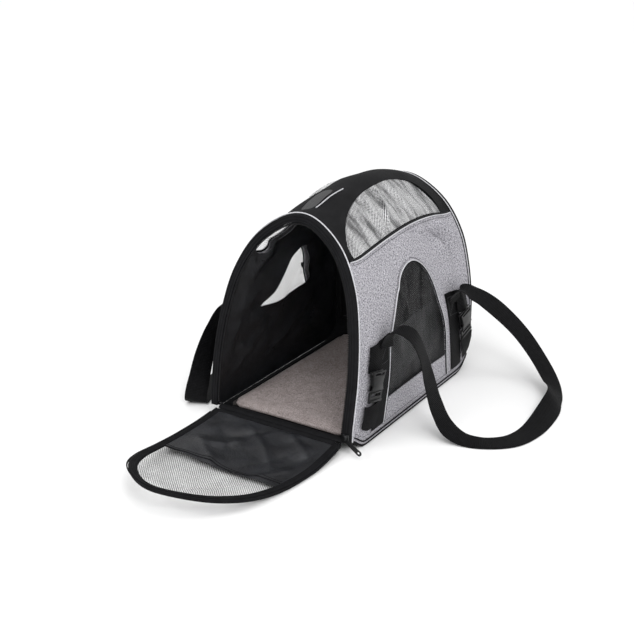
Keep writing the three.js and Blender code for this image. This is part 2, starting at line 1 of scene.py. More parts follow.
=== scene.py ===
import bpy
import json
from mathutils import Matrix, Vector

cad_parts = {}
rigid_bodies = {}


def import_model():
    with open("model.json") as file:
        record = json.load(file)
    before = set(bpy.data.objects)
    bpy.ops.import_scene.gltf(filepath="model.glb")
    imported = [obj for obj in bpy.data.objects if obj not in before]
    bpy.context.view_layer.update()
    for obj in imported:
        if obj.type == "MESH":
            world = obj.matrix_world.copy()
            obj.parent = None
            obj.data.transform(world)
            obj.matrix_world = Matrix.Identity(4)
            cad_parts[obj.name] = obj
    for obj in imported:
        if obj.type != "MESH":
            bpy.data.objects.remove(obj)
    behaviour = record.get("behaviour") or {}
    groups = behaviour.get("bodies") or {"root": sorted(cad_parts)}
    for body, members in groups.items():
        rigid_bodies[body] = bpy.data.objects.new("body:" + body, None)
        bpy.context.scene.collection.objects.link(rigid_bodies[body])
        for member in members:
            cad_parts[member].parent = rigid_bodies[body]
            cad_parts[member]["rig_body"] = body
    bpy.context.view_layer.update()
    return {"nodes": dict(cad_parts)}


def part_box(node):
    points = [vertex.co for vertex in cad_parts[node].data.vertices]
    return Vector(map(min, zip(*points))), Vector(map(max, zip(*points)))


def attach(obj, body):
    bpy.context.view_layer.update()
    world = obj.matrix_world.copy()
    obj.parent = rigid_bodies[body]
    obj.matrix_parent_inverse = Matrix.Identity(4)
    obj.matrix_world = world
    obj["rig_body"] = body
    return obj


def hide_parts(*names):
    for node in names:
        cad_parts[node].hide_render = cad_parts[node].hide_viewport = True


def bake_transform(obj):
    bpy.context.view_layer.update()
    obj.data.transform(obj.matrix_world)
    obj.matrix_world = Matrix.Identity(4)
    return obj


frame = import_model()

# Looks of a soft-sided pet carrier bag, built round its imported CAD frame. Metres, +Z up, mouth towards -Y.
import json
import math
import bmesh
import bpy
import numpy as np
from mathutils import Vector, geometry, noise

MM = 0.001

# ---------- the tunnel wall, in millimetres as in the part's source ----------
MOUTH_HALF = 135
MOUTH_HEIGHT = 350
TUNNEL_LENGTH = 404
MOUTH_TO_ORIGIN = 210
FOOT = 3
FRONT_LIFT = 16
FRONT_LIFT_LENGTH = 30
REAR_RADIUS = 45
REAR_LIFT = 0.8
REAR_LEAN = 0.02
ROOF_SWELL = 24
FLARE_FRONT = 5
FLARE_REAR = 3
HALF_SECTION = [(135, 0), (136, 60), (135.5, 105), (128, 178), (112, 246), (79, 305), (32, 342)]

SEAM_U = 0.3555
WINDOW_LOW_U = 0.3605
WINDOW_TOP_U = 0.459
WINDOW_MID_Y = 219
WINDOW_HALF = 147
VENT_MID_U = 0.5175
VENT_HALF_U = 0.0165
VENT_MID_Y = 134
VENT_HALF = 38
ARCH_MID_Y = 203
ARCH_HALF = 110
ARCH_TOP = 238
ARCH_LOW = 10
ARCH_FLARE = 9
ARCH_FLARE_HEIGHT = 60
POCKET_HEIGHT = 51
LINING_SILL = 150
RING_WIDTH = 13.2
RING_DEPTH = 8
REAR_RING_WIDTH = 15
REAR_RING_DEPTH = 14
ZIP_WIDTH = 3.6
DOOR_INSET = 13
DOOR_HINGE_Y = -10
DOOR_HINGE_Z = 16
DOOR_STRETCH = 0.985
DOOR_DIP = -0.22
DOOR_RISE = 0.000931
DOOR_LOW = 2.2
BINDING_WIDTH = 14
DOOR_SPLIT = 148
WEBBING = 38
WEBBING_THICK = 1.6
CLIP_WEBBING = 36
ANCHOR_TOP = 158
CLIP_Z = 88
CLIP_TILT = 0.235
STRAP_OFFSET = 3
FLOOR_Z = 1.4
WALL_IN = -1.8
MESH_OUT = -0.6
MESH_IN = -1.3
LINING_OUT = -3.6
LINING_IN = -4.8
# Lengths of the pad in metres: how far it may puff up, and how far inside its outline the edge binding lies.
PAD_PUFF = 0.004
PAD_EDGE = 0.0024
SIDES = ("right", "left")


def smooth(x):
    x = np.clip(x, 0, 1)
    return x * x * (3 - 2 * x)


def hump(x):
    return np.exp(-np.square(x))


def unit(v):
    return v / np.maximum(np.linalg.norm(v, axis=-1, keepdims=True), 1e-9)


def flat_uv(across, along):
    """Each point's place on the flat cloth in metres, from millimetres across and along it."""
    return np.stack(np.broadcast_arrays(across * MM, along * MM), -1).reshape(-1, 2)


def spline(points, per=60):
    """A centripetal curve through the points, as the part's source draws it."""
    p = np.array(points, float)
    p = np.vstack([2 * p[0] - p[1], p, 2 * p[-1] - p[-2]])
    t = np.linspace(0, 1, per, endpoint=False)[:, None]
    out = []
    for i in range(1, len(p) - 2):
        p0, p1, p2, p3 = p[i - 1:i + 3]
        d0, d1, d2 = [np.linalg.norm(b - a) ** 0.5 for a, b in ((p0, p1), (p1, p2), (p2, p3))]
        t1 = ((p1 - p0) / d0 - (p2 - p0) / (d0 + d1) + (p2 - p1) / d1) * d1
        t2 = ((p2 - p1) / d1 - (p3 - p1) / (d1 + d2) + (p3 - p2) / d2) * d1
        square = -3 * p1 + 3 * p2 - 2 * t1 - t2
        cube = 2 * p1 - 2 * p2 + t1 + t2
        out.append(p1 + t1 * t + square * t ** 2 + cube * t ** 3)
    out.append(p[-2][None])
    return np.vstack(out)


def by_length(points):
    """The points' shares of the whole length, and that length."""
    steps = np.linalg.norm(np.diff(points, axis=0), axis=1)
    along = np.concatenate([[0], np.cumsum(steps)])
    return along / along[-1], along[-1]


SECTION = spline(HALF_SECTION + [(0, MOUTH_HEIGHT)] + [(-x, z) for x, z in HALF_SECTION[::-1]])
SECTION_U, ROUND = by_length(SECTION)
U_STEP = 0.002


def section(u):
    u = np.clip(u, 0, 1)
    return np.interp(u, SECTION_U, SECTION[:, 0]), np.interp(u, SECTION_U, SECTION[:, 1])


def u_at_height(z):
    half = SECTION_U <= 0.5
    return np.interp(z, SECTION[half, 1], SECTION_U[half])


def mouth_y(z):
    """Where the mouth's edge is at height z: it leans back."""
    rise = np.maximum(z - FOOT - FRONT_LIFT, 0)
    return 0.158 * rise + 0.046 * rise * rise / 300


def rear_y(z):
    """Where the rear edge is at height z."""
    return TUNNEL_LENGTH - REAR_LEAN * z


def foot_height(y):
    """The height of the tunnel's foot: it rises at the front and curves up at the rear."""
    front = FRONT_LIFT * (1 - smooth(np.asarray(y) / FRONT_LIFT_LENGTH))
    back = np.clip(y - (TUNNEL_LENGTH - REAR_RADIUS), 0, REAR_RADIUS)
    return FOOT + front + REAR_LIFT * (REAR_RADIUS - np.sqrt(REAR_RADIUS ** 2 - back ** 2))


def face(u, y):
    """A point of the smooth tunnel in millimetres: u is the share of the section's length."""
    x, z = section(u)
    v = (y - mouth_y(z)) / (rear_y(z) - mouth_y(z))
    flare = FLARE_FRONT * smooth(v / 0.1) + FLARE_REAR * v
    t = np.clip(v, 0, 1)
    swell = ROOF_SWELL * np.sin(np.pi * t ** 1.25) ** 0.9 + 2 * t
    foot = foot_height(v * TUNNEL_LENGTH)
    height = foot + z * (MOUTH_HEIGHT + swell - foot) / MOUTH_HEIGHT
    return np.stack([x * (1 + flare / MOUTH_HALF), y + 0 * x, height], -1)


FOLD_DEPTH = 2.2
# Soft folds of the wall: start and end as [u, y], width in millimetres and depth in units of FOLD_DEPTH.
FOLDS = [
    ((0.352, 236), (0.296, 306), 8, -4.6), ((0.350, 252), (0.262, 352), 9, 5.2),
    ((0.340, 280), (0.285, 350), 8, -4.8), ((0.345, 322), (0.292, 386), 9, 4.6),
    ((0.318, 318), (0.240, 372), 8, -4.4), ((0.300, 120), (0.262, 152), 7, 1.6),
    ((0.330, 120), (0.300, 175), 12, -2.0), ((0.250, 330), (0.130, 372), 10, 1.8),
    ((0.420, 60), (0.365, 78), 14, -2.6), ((0.600, 70), (0.690, 150), 16, 3.4),
    ((0.655, 110), (0.720, 60), 14, -3.0), ((0.780, 90), (0.860, 170), 20, 3.6),
    ((0.720, 240), (0.820, 300), 18, 3.2), ((0.880, 60), (0.930, 150), 14, -3.2),
    ((0.660, 280), (0.760, 360), 18, -2.8), ((0.530, 60), (0.470, 95), 14, 2.0),
]


def along_fold(x, w, start, end, bow, turns):
    """Where points lie beside a fold: share of its length, and distance across from its bowed line."""
    a, b = np.array(start, float), np.array(end, float)
    length = np.linalg.norm(b - a)
    way = (b - a) / length
    t = ((x - a[0]) * way[0] + (w - a[1]) * way[1]) / length
    return t, -(x - a[0]) * way[1] + (w - a[1]) * way[0] + bow * np.sin(turns * t)


def fold(u, y, start, end, width, depth):
    a, b = [(p[0] * ROUND, p[1]) for p in (start, end)]
    t, across = along_fold(np.asarray(u) * ROUND, np.asarray(y), a, b, 5, 3)
    return depth * np.exp(-np.abs(across / width) ** 1.4) * smooth(t / 0.3 + 0.3) * smooth((1.2 - t) / 0.4)


def relief(u, y):
    """How far the cloth stands off the smooth tunnel, in millimetres."""
    u, y = np.asarray(u, float), np.asarray(y, float)
    z = section(u)[1]
    edge = smooth((y - mouth_y(z)) / 34) * smooth((rear_y(z) - y) / 28)
    low = smooth((z - 26) / 70)
    sag = -30 * hump((u - 0.76) / 0.10) * hump((y - 165) / 105)
    sag = sag - 9 * hump((u - 0.645) / 0.05) * hump((y - 88) / 55)
    sag = sag - 5 * hump((u - 0.5) / 0.09) * hump((y - 88) / 34) * smooth((u - 0.36) / 0.08)
    sag = sag - 4 * hump((u - 0.24) / 0.09) * hump((y - 300) / 80)
    a = u * ROUND
    ripple = 1.1 * np.sin(a / 21 + y / 37 + 1.3) * np.sin(y / 29 - a / 53)
    ripple = ripple + 0.5 * np.sin(a / 13 - y / 17) * np.sin(y / 47 + a / 31 + 0.6)
    for one in FOLDS:
        ripple = ripple + FOLD_DEPTH * fold(u, y, *one)
    return (sag + ripple * smooth((z - 20) / 50)) * edge * low


def sunk(u, y):
    """Where the cloth lies once the left shoulder has slipped down and forwards, as u and y."""
    z = section(u)[1]
    free = smooth((y - mouth_y(z)) / 40) * hump((y - 88) / 52)
    return u + 0.020 * free * hump((u - 0.635) / 0.055), y - 24 * free * hump((u - 0.62) / 0.06)


def wall(u, y, offset, soft=True):
    """A point of the wall in metres in the bag's frame, offset along the wall's outward normal."""
    u, y = np.broadcast_arrays(np.asarray(u, float), np.asarray(y, float))
    if soft:
        u, y = sunk(u, y)
    along = face(u, y + 1) - face(u, y - 1)
    around = face(np.minimum(u + U_STEP, 1), y) - face(np.maximum(u - U_STEP, 0), y)
    normal = unit(np.cross(along, around))
    out = np.asarray(offset, float) + (relief(u, y) if soft else 0)
    p = face(u, y) + normal * np.broadcast_to(out, u.shape)[..., None]
    p[..., 1] -= MOUTH_TO_ORIGIN
    return p * MM


def rounded(x0, x1, y0, y1, radius, steps=3):
    """The outline of a rectangle with round corners, from its upper right corner round to the left."""
    out = []
    for x, y, turn in ((x1 - radius, y1 - radius, 0), (x0 + radius, y1 - radius, 90),
                       (x0 + radius, y0 + radius, 180), (x1 - radius, y0 + radius, 270)):
        for k in range(steps + 1):
            t = math.radians(turn + 90 * k / steps)
            out.append((x + radius * math.cos(t), y + radius * math.sin(t)))
    return out


def rim(u, r, a, edge_y):
    """A point of a rim in metres: r outwards from the wall and a along +Y."""
    u = np.asarray(u, float)
    y = edge_y(section(u)[1])
    around = face(np.minimum(u + U_STEP, 1), y) - face(np.maximum(u - U_STEP, 0), y)
    out = unit(np.stack([around[..., 2], 0 * u, -around[..., 0]], -1))
    p = face(u, y) + out * np.asarray(r, float)[..., None]
    p[..., 1] += np.asarray(a, float) - MOUTH_TO_ORIGIN
    return p * MM


def on_side(side, u):
    """The right side's u, mirrored for the left side."""
    return 1 - u if side == "left" else u


# ---------- camera, floor and light ----------
PITCH = math.radians(20.9)
YAW = math.radians(32.3)
LENS = 59.62
CAMERA_PLACE = (0.8667, -1.4696, 0.7829)
FLOOR_SIZE = 40
FLOOR_GAP = 0.0006
FILL_LIGHT = 0.74


def add_camera():
    data = bpy.data.cameras.new("camera")
    data.sensor_width = 36
    data.lens = LENS
    data.clip_end = 50
    camera = bpy.data.objects.new("camera", data)
    camera.location = CAMERA_PLACE
    camera.rotation_euler = (math.pi / 2 - PITCH, 0, YAW)
    bpy.context.scene.collection.objects.link(camera)
    bpy.context.scene.camera = camera


def add_area(name, place, target, size, power):
    data = bpy.data.lights.new(name, "AREA")
    data.shape = "DISK"
    data.size = size
    data.energy = power
    light = bpy.data.objects.new(name, data)
    light.location = place
    light.rotation_euler = (Vector(target) - Vector(place)).to_track_quat("-Z", "Y").to_euler()
    bpy.context.scene.collection.objects.link(light)


def add_studio():
    """A pale floor under soft light; the backdrop looks whiter than the light that it gives."""
    scene = bpy.context.scene
    scene.view_settings.view_transform = "Standard"
    world = bpy.data.worlds.new("studio")
    world.use_nodes = True
    tree = world.node_tree
    tree.nodes["Background"].inputs["Color"].default_value = (1, 1, 1, 1)
    seen = tree.nodes.new("ShaderNodeLightPath").outputs["Is Camera Ray"]
    level = tree.nodes.new("ShaderNodeMapRange")
    level.inputs["To Min"].default_value = FILL_LIGHT
    level.inputs["To Max"].default_value = 1.0
    tree.links.new(seen, level.inputs["Value"])
    tree.links.new(level.outputs["Result"], tree.nodes["Background"].inputs["Strength"])
    scene.world = world
    data = bpy.data.lights.new("sky_panel", "SUN")
    data.energy = 1.25
    data.angle = math.radians(55)
    sun = bpy.data.objects.new("sky_panel", data)
    sun.rotation_euler = Vector((0.30, -0.42, 1.0)).to_track_quat("Z", "Y").to_euler()
    scene.collection.objects.link(sun)
    add_area("side_softbox", (1.5, -1.5, 1.7), (0, 0, 0.15), 0.8, 14)
    add_area("front_softbox", (-0.9, -1.9, 1.5), (0, -0.3, 0), 0.7, 9)
    mesh = bpy.data.meshes.new("floor")
    corners = [(x * FLOOR_SIZE, y * FLOOR_SIZE, 0) for x, y in ((-1, -1), (1, -1), (1, 1), (-1, 1))]
    mesh.from_pydata(corners, [], [(0, 1, 2, 3)])
    floor = bpy.data.objects.new("floor", mesh)
    floor.location.z = -FLOOR_GAP
    scene.collection.objects.link(floor)
    paint = bpy.data.materials.new("pale_floor")
    paint.use_nodes = True
    shader = paint.node_tree.nodes["Principled BSDF"]
    shader.inputs["Base Color"].default_value = (0.93, 0.93, 0.93, 1)
    shader.inputs["Roughness"].default_value = 0.9
    shader.inputs["Specular IOR Level"].default_value = 0.1
    mesh.materials.append(paint)


# ---------- materials ----------
class Paint:
    """A node material: node() adds a node and joins any sockets given to it, and set() joins a value to the
    shader.
    """

    def __init__(self, name, **sockets):
        self.material = bpy.data.materials.new(name)
        self.material.use_nodes = True
        self.tree = self.material.node_tree
        self.shader = self.tree.nodes["Principled BSDF"]
        for key, value in sockets.items():
            self.shader.inputs[key.replace("_", " ")].default_value = value

    def node(self, kind, settings=None, **inputs):
        made = self.tree.nodes.new("ShaderNode" + kind)
        for key, value in (settings or {}).items():
            setattr(made, key, value)
        for key, value in inputs.items():
            socket = made.inputs[int(key[1:])] if key[0] == "i" and key[1:].isdigit() else made.inputs[key]
            if isinstance(value, bpy.types.NodeSocket):
                self.tree.links.new(value, socket)
            else:
                socket.default_value = value
        return made

    def math(self, operation, a, b=0.0):
        return self.node("Math", {"operation": operation}, i0=a, i1=b).outputs[0]

    def ramp(self, factor, stops):
        made = self.node("ValToRGB", i0=factor)
        bar = made.color_ramp
        while len(bar.elements) < len(stops):
            bar.elements.new(0.5)
        for element, (place, colour) in zip(bar.elements, stops):
            element.position = place
            element.color = (*colour, 1)
        return made.outputs[0]

    def noise(self, place, scale, detail=3.0, rough=0.6):
        return self.node("TexNoise", Vector=place, Scale=scale, Detail=detail, Roughness=rough).outputs[0]

    def mapped(self, place, scale):
        return self.node("Mapping", Vector=place, Scale=scale).outputs[0]

    def cloth_place(self):
        return self.node("UVMap", {"uv_map": "cloth"}).outputs[0]

    def object_place(self):
        return self.node("TexCoord").outputs["Object"]

    def bump(self, height, strength, distance):
        made = self.node("Bump", Height=height, Strength=strength, Distance=distance)
        self.tree.links.new(made.outputs[0], self.shader.inputs["Normal"])

    def set(self, socket, value):
        self.tree.links.new(value, self.shader.inputs[socket])

    def crossed(self, one, other, pitch):
        """Waves along two directions multiplied, as the height of threads that cross."""
        waves = [self.math("SINE", self.math("MULTIPLY", way, math.pi / pitch)) for way in (one, other)]
        return self.math("ABSOLUTE", self.math("MULTIPLY", *waves))

    def weave(self, place, pitch):
        """The height of a plain weave with that thread pitch in metres."""
        split = self.node("SeparateXYZ", i0=place)
        return self.crossed(split.outputs[0], split.outputs[1], pitch)

    def mix(self, *parts):
        """The sum of pairs of a value and its share."""
        total, *others = [self.math("MULTIPLY", value, share) for value, share in parts]
        for other in others:
            total = self.math("ADD", total, other)
        return total


def heather_paint():
    p = Paint("heather_grey", Roughness=0.92, Specular_IOR_Level=0.15)
    place = p.cloth_place()
    warp = p.noise(p.mapped(place, (1, 3.2, 1)), 300, 2, 0.6)
    weft = p.noise(p.mapped(place, (3.2, 1, 1)), 300, 2, 0.6)
    fleck = p.noise(place, 420, 2, 0.6)
    mixed = p.mix((p.math("ADD", warp, weft), 0.36), (fleck, 0.28))
    colour = p.ramp(mixed, [(0.425, (0.11, 0.107, 0.12)), (0.48, (0.315, 0.308, 0.335)),
                            (0.525, (0.44, 0.43, 0.465)), (0.60, (0.68, 0.67, 0.71))])
    p.set("Base Color", colour)
    p.bump(p.math("ADD", p.weave(place, 0.0011), mixed), 0.5, 0.0006)
    return p.material


def black_paint():
    p = Paint("black_woven", Roughness=0.8, Specular_IOR_Level=0.12)
    place = p.object_place()
    cloud = p.noise(place, 60, 5, 0.65)
    grain = p.noise(place, 900, 3, 0.7)
    tone = p.mix((cloud, 0.5), (grain, 0.5))
    p.set("Base Color", p.ramp(tone, [(0.3, (0.0025, 0.0025, 0.003)), (0.7, (0.011, 0.011, 0.0125))]))
    p.bump(grain, 0.5, 0.0004)
    return p.material


def roof_paint():
    p = Paint("black_ripstop", Roughness=0.75, Specular_IOR_Level=0.16)
    place = p.cloth_place()
    cloud = p.noise(place, 40, 5, 0.65)
    dots = p.weave(place, 0.0014)
    tone = p.mix((cloud, 0.6), (dots, 0.35))
    p.set("Base Color", p.ramp(tone, [(0.25, (0.0025, 0.0025, 0.003)), (0.8, (0.014, 0.014, 0.0155))]))
    p.bump(dots, 0.6, 0.0004)
    return p.material


def satin_paint(name, tone):
    """Crushed black satin with a painted sheen: where the crush is raised its colour turns lighter and
    bluish. tone scales how light it is.
    """
    p = Paint(name, Roughness=0.42, Specular_IOR_Level=0.6)
    place = p.cloth_place()
    crush = p.noise(place, 26, 6, 0.6)
    fine = p.weave(place, 0.0009)
    dark = [c * tone for c in (0.002, 0.002, 0.0025)]
    light = [c * tone for c in (0.0065, 0.007, 0.0085)]
    # Painted sheen: the crush noise, which is also the bump's height, lightens the colour on the raised
    # folds.
    p.set("Base Color", p.ramp(crush, [(0.3, dark), (0.75, light)]))
    p.set("Roughness", p.ramp(p.noise(place, 14, 3), [(0.3, (0.27,) * 3), (0.7, (0.44,) * 3)]))
    p.bump(p.math("ADD", crush, p.math("MULTIPLY", fine, 0.06)), 0.6, 0.006)
    return p.material


def net_paint(name, pitch, thread, dark, light, uneven=0.1):
    """Open net: thread says how wide its threads are beside its holes, from 0 to 1. Its colour is streaked
    with painted shade, dark in lines like creases and light between them.
    """
    p = Paint(name, Roughness=0.6, Specular_IOR_Level=0.2)
    place = p.cloth_place()
    split = p.node("SeparateXYZ", i0=place)
    turned = [p.math(way, split.outputs[0], split.outputs[1]) for way in ("ADD", "SUBTRACT")]
    hole = p.crossed(*turned, pitch)
    # drift makes the net denser in random patches; where uneven is large, these darker patches also stand in
    # for shade and creases.
    drift = p.math("MULTIPLY", p.math("SUBTRACT", p.noise(place, 16, 3), 0.5), uneven)
    p.set("Alpha", p.ramp(p.math("ADD", hole, drift), [(max(thread - 0.06, 0), (1, 1, 1)),
                                                       (thread + 0.06, (0, 0, 0))]))
    # Painted shade: long noise streaks darken the net's colour in lines like creases.
    painted_crease_shade = p.noise(p.mapped(place, (13, 55, 1)), 1, 4, 0.6)
    p.set("Base Color", p.ramp(painted_crease_shade, [(0.36, dark), (0.54, light)]))
    return p.material


def vent_paint():
    """Close net over a backing, so it lets no light through."""
    p = Paint("vent_net", Roughness=0.7, Specular_IOR_Level=0.2)
    dots = p.weave(p.cloth_place(), 0.0032)
    p.set("Base Color", p.ramp(dots, [(0.25, (0.12, 0.12, 0.122)), (0.55, (0.006, 0.006, 0.006))]))
    p.bump(dots, 0.6, 0.0005)
    return p.material


def felt_paint():
    p = Paint("taupe_fleece", Roughness=1.0, Specular_IOR_Level=0.1)
    place = p.object_place()
    fluff = p.noise(place, 640, 3, 0.65)
    tuft = p.noise(place, 70, 4, 0.7)
    tone = p.mix((fluff, 0.8), (tuft, 0.2))
    p.set("Base Color", p.ramp(tone, [(0.38, (0.15, 0.125, 0.122)), (0.5, (0.285, 0.245, 0.238)),
                                      (0.62, (0.43, 0.38, 0.37))]))
    p.bump(p.math("ADD", fluff, tuft), 0.7, 0.0018)
    return p.material


def webbing_paint():
    p = Paint("ribbed_webbing", Roughness=0.62, Specular_IOR_Level=0.1)
    place = p.cloth_place()
    split = p.node("SeparateXYZ", i0=place)
    across, along = split.outputs[0], split.outputs[1]
    rib = p.math("SINE", p.math("MULTIPLY", along, 2 * math.pi / 0.0026))
    herring = p.math("SINE", p.math("MULTIPLY", across, 2 * math.pi / 0.0048))
    height = p.math("MULTIPLY", rib, p.math("ADD", p.math("MULTIPLY", herring, 0.35), 0.8))
    wear = p.noise(place, 120, 4, 0.7)
    tone = p.math("ADD", p.math("MULTIPLY", height, 0.18), wear)
    p.set("Base Color", p.ramp(tone, [(0.3, (0.001, 0.001, 0.0012)), (0.75, (0.0055, 0.0055, 0.0065))]))
    p.bump(height, 0.6, 0.0006)
    return p.material


def flecked_paint(name, grain, stops, bump=None, **sockets):
    """One noise gives the colour and the bump: grain is its scale, detail and roughness."""
    p = Paint(name, **sockets)
    fleck = p.noise(p.object_place(), *grain)
    p.set("Base Color", p.ramp(fleck, stops))
    if bump:
        p.bump(fleck, *bump)
    return p.material


def plastic_paint():
    p = Paint("moulded_black", Roughness=0.34, Specular_IOR_Level=0.26)
    place = p.object_place()
    grain = p.noise(place, 1400, 3)
    scuff = p.noise(place, 90, 5, 0.7)
    p.set("Base Color", p.ramp(scuff, [(0.3, (0.002, 0.002, 0.0025)), (0.8, (0.007, 0.007, 0.0075))]))
    p.set("Roughness", p.ramp(scuff, [(0.3, (0.30,) * 3), (0.7, (0.46,) * 3)]))
    p.bump(grain, 0.25, 0.0002)
    return p.material


PAINTS = {
    "heather": heather_paint(), "black": black_paint(), "roof": roof_paint(),
    # Painted light: the door's satin is a lighter copy of the lining's satin, standing in for the light on
    # the open door.
    "satin": satin_paint("black_satin", 2.2), "door_satin_painted_lighter": satin_paint("door_satin_painted_lighter", 3.0),
    "window_net": net_paint("window_net", 0.0036, 0.17, (0.26, 0.26, 0.265), (0.88, 0.88, 0.89), 0.16),
    # The door net's large uneven share gives darker, denser patches that stand in for its creases and the
    # shade under it.
    "door_net": net_paint("door_net", 0.0044, 0.11, (0.008, 0.008, 0.009), (0.03, 0.03, 0.03), 0.22),
    "side_net": net_paint("side_net", 0.0040, 0.15, (0.008, 0.008, 0.009), (0.06, 0.06, 0.062)),
    "vent_net": vent_paint(), "felt": felt_paint(), "webbing": webbing_paint(), "plastic": plastic_paint(),
    "piping": flecked_paint("pale_cord", (700, 3), [(0.35, (0.36, 0.36, 0.38)), (0.65, (0.72, 0.72, 0.75))],
                            (0.4, 0.0004), Roughness=0.45, Specular_IOR_Level=0.6),
    "zip": flecked_paint("black_zip_metal", (260, 5, 0.7),
                         [(0.45, (0.008, 0.008, 0.009)), (0.75, (0.05, 0.05, 0.054))], (0.2, 0.0002),
                         Roughness=0.34, Metallic=0.3),
    "board": flecked_paint("fibre_board", (300, 5, 0.7),
                           [(0.3, (0.05, 0.045, 0.042)), (0.7, (0.11, 0.10, 0.095))], (0.3, 0.0005),
                           Roughness=0.9),
    "thread": flecked_paint("dark_thread", (1500, 2),
                            [(0.35, (0.02, 0.02, 0.022)), (0.65, (0.06, 0.06, 0.065))], Roughness=0.6),
    "black_thread": flecked_paint("black_thread", (1500, 2),
                                  [(0.35, (0.012, 0.012, 0.013)), (0.65, (0.035, 0.035, 0.037))],
                                  Roughness=0.6),
}

# ---------- mesh builders ----------


def link_piece(name, mesh, paint):
    """The mesh as an object in the scene, with its material."""
    mesh.materials.append(PAINTS[paint])
    made = bpy.data.objects.new(name, mesh)
    bpy.context.scene.collection.objects.link(made)
    return made


def finish_piece(name, points, faces, paint, uv=None, sharp=40):
    """One object from points in metres; uv gives each point's place on the flat cloth, in metres."""
    mesh = bpy.data.meshes.new(name)
    mesh.from_pydata([tuple(p) for p in points], [], faces)
    mesh.validate()
    if uv is not None:
        layer = mesh.uv_layers.new(name="cloth")
        loops = np.zeros(len(mesh.loops), np.int32)
        mesh.loops.foreach_get("vertex_index", loops)
        layer.data.foreach_set("uv", np.asarray(uv, np.float32)[loops].ravel())
    work = bmesh.new()
    work.from_mesh(mesh)
    bmesh.ops.recalc_face_normals(work, faces=work.faces)
    work.to_mesh(mesh)
    work.free()
    mesh.shade_smooth()
    mesh.set_sharp_from_angle(angle=math.radians(sharp))
    return link_piece(name, mesh, paint)


def put(piece, body, *nodes):
    """Rides the piece on a body, and hides the CAD nodes that it stands for."""
    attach(piece, body)
    if nodes:
        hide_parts(*nodes)
    return piece


def grid_faces(rows, columns, closed_rows=False, closed_columns=False):
    """Four-sided faces between rows x columns points; a closed way joins its last points to its first."""
    i, j = np.meshgrid(np.arange(rows - (not closed_rows)), np.arange(columns - (not closed_columns)),
                       indexing="ij")
    a = i * columns + j
    b = i * columns + (j + 1) % columns
    c = ((i + 1) % rows) * columns + (j + 1) % columns
    d = ((i + 1) % rows) * columns + j
    return np.stack([a, b, c, d], -1).reshape(-1, 4).tolist()


def sheet_faces(rows, columns):
    """Both faces and the closed border of a thin grid sheet stored face after face."""
    n = rows * columns
    top = grid_faces(rows, columns)
    edge = list(range(columns)) + [r * columns + columns - 1 for r in range(1, rows)]
    edge += [(rows - 1) * columns + c for c in range(columns - 2, -1, -1)]
    edge += [r * columns for r in range(rows - 2, 0, -1)]
    faces = top + [[v + n for v in f[::-1]] for f in top]
    return faces + [[a, b, b + n, a + n] for a, b in zip(edge, edge[1:] + edge[:1])]


def loft(name, rings, paint, uv=None, sharp=40):
    """A closed body through rings of points, an array of rings x corners x 3."""
    rings = np.asarray(rings, float)
    n, m = rings.shape[:2]
    faces = grid_faces(n, m, closed_columns=True)
    faces.append(list(range(m))[::-1])
    faces.append(list(range((n - 1) * m, n * m)))
    return finish_piece(name, rings.reshape(-1, 3), faces, paint, uv, sharp)


def inside(points, loop):
    """Which points lie inside the closed loop."""
    x, y = points[:, 0], points[:, 1]
    hit = np.zeros(len(points), bool)
    for (x0, y0), (x1, y1) in zip(loop, np.roll(loop, -1, axis=0)):
        if y0 == y1:
            continue
        crosses = (y0 > y) != (y1 > y)
        hit ^= crosses & (x < (x1 - x0) * (y - y0) / (y1 - y0) + x0)
    return hit


def even_loop(points, spacing):
    """The closed loop again, with points about a spacing apart and its sharp corners kept."""
    points = np.asarray(points, float)
    out = []
    for a, b in zip(points, np.roll(points, -1, axis=0)):
        count = max(int(round(np.linalg.norm(b - a) / spacing)), 1)
        out.extend(a + (b - a) * k / count for k in range(count))
    return np.array(out)


def flat_net(outline, holes, spacing):
    """Triangles over a flat outline with holes: points and faces."""
    loops = [even_loop(loop, spacing) for loop in (outline, *holes)]
    low, high = loops[0].min(0), loops[0].max(0)
    step = spacing * np.array([1, 0.866])
    cells = np.stack(np.meshgrid(np.arange(low[0] + spacing / 2, high[0], step[0]),
                                 np.arange(low[1] + spacing / 2, high[1], step[1])), -1)
    cells[1::2, :, 0] += spacing / 2
    cells = cells.reshape(-1, 2)
    keep = inside(cells, loops[0])
    for loop in loops[1:]:
        keep &= ~inside(cells, loop)
    cells = cells[keep]
    border = np.vstack(loops)
    near = np.full(len(cells), np.inf)
    for p in border:
        near = np.minimum(near, np.hypot(*(cells - p).T))
    cells = cells[near > 0.55 * spacing]
    edges = []
    start = 0
    for loop in loops:
        count = len(loop)
        edges.extend((start + k, start + (k + 1) % count) for k in range(count))
        start += count
    given = [Vector(p) for p in np.vstack([border, cells])]
    verts, _, faces, *_ = geometry.delaunay_2d_cdt(given, edges, [], 0, 1e-4)
    points = np.array([tuple(v) for v in verts])
    faces = np.array([f for f in faces if len(f) == 3])
    middle = points[faces].mean(1)
    keep = inside(middle, loops[0])
    for loop in loops[1:]:
        keep &= ~inside(middle, loop)
    return points, faces[keep]


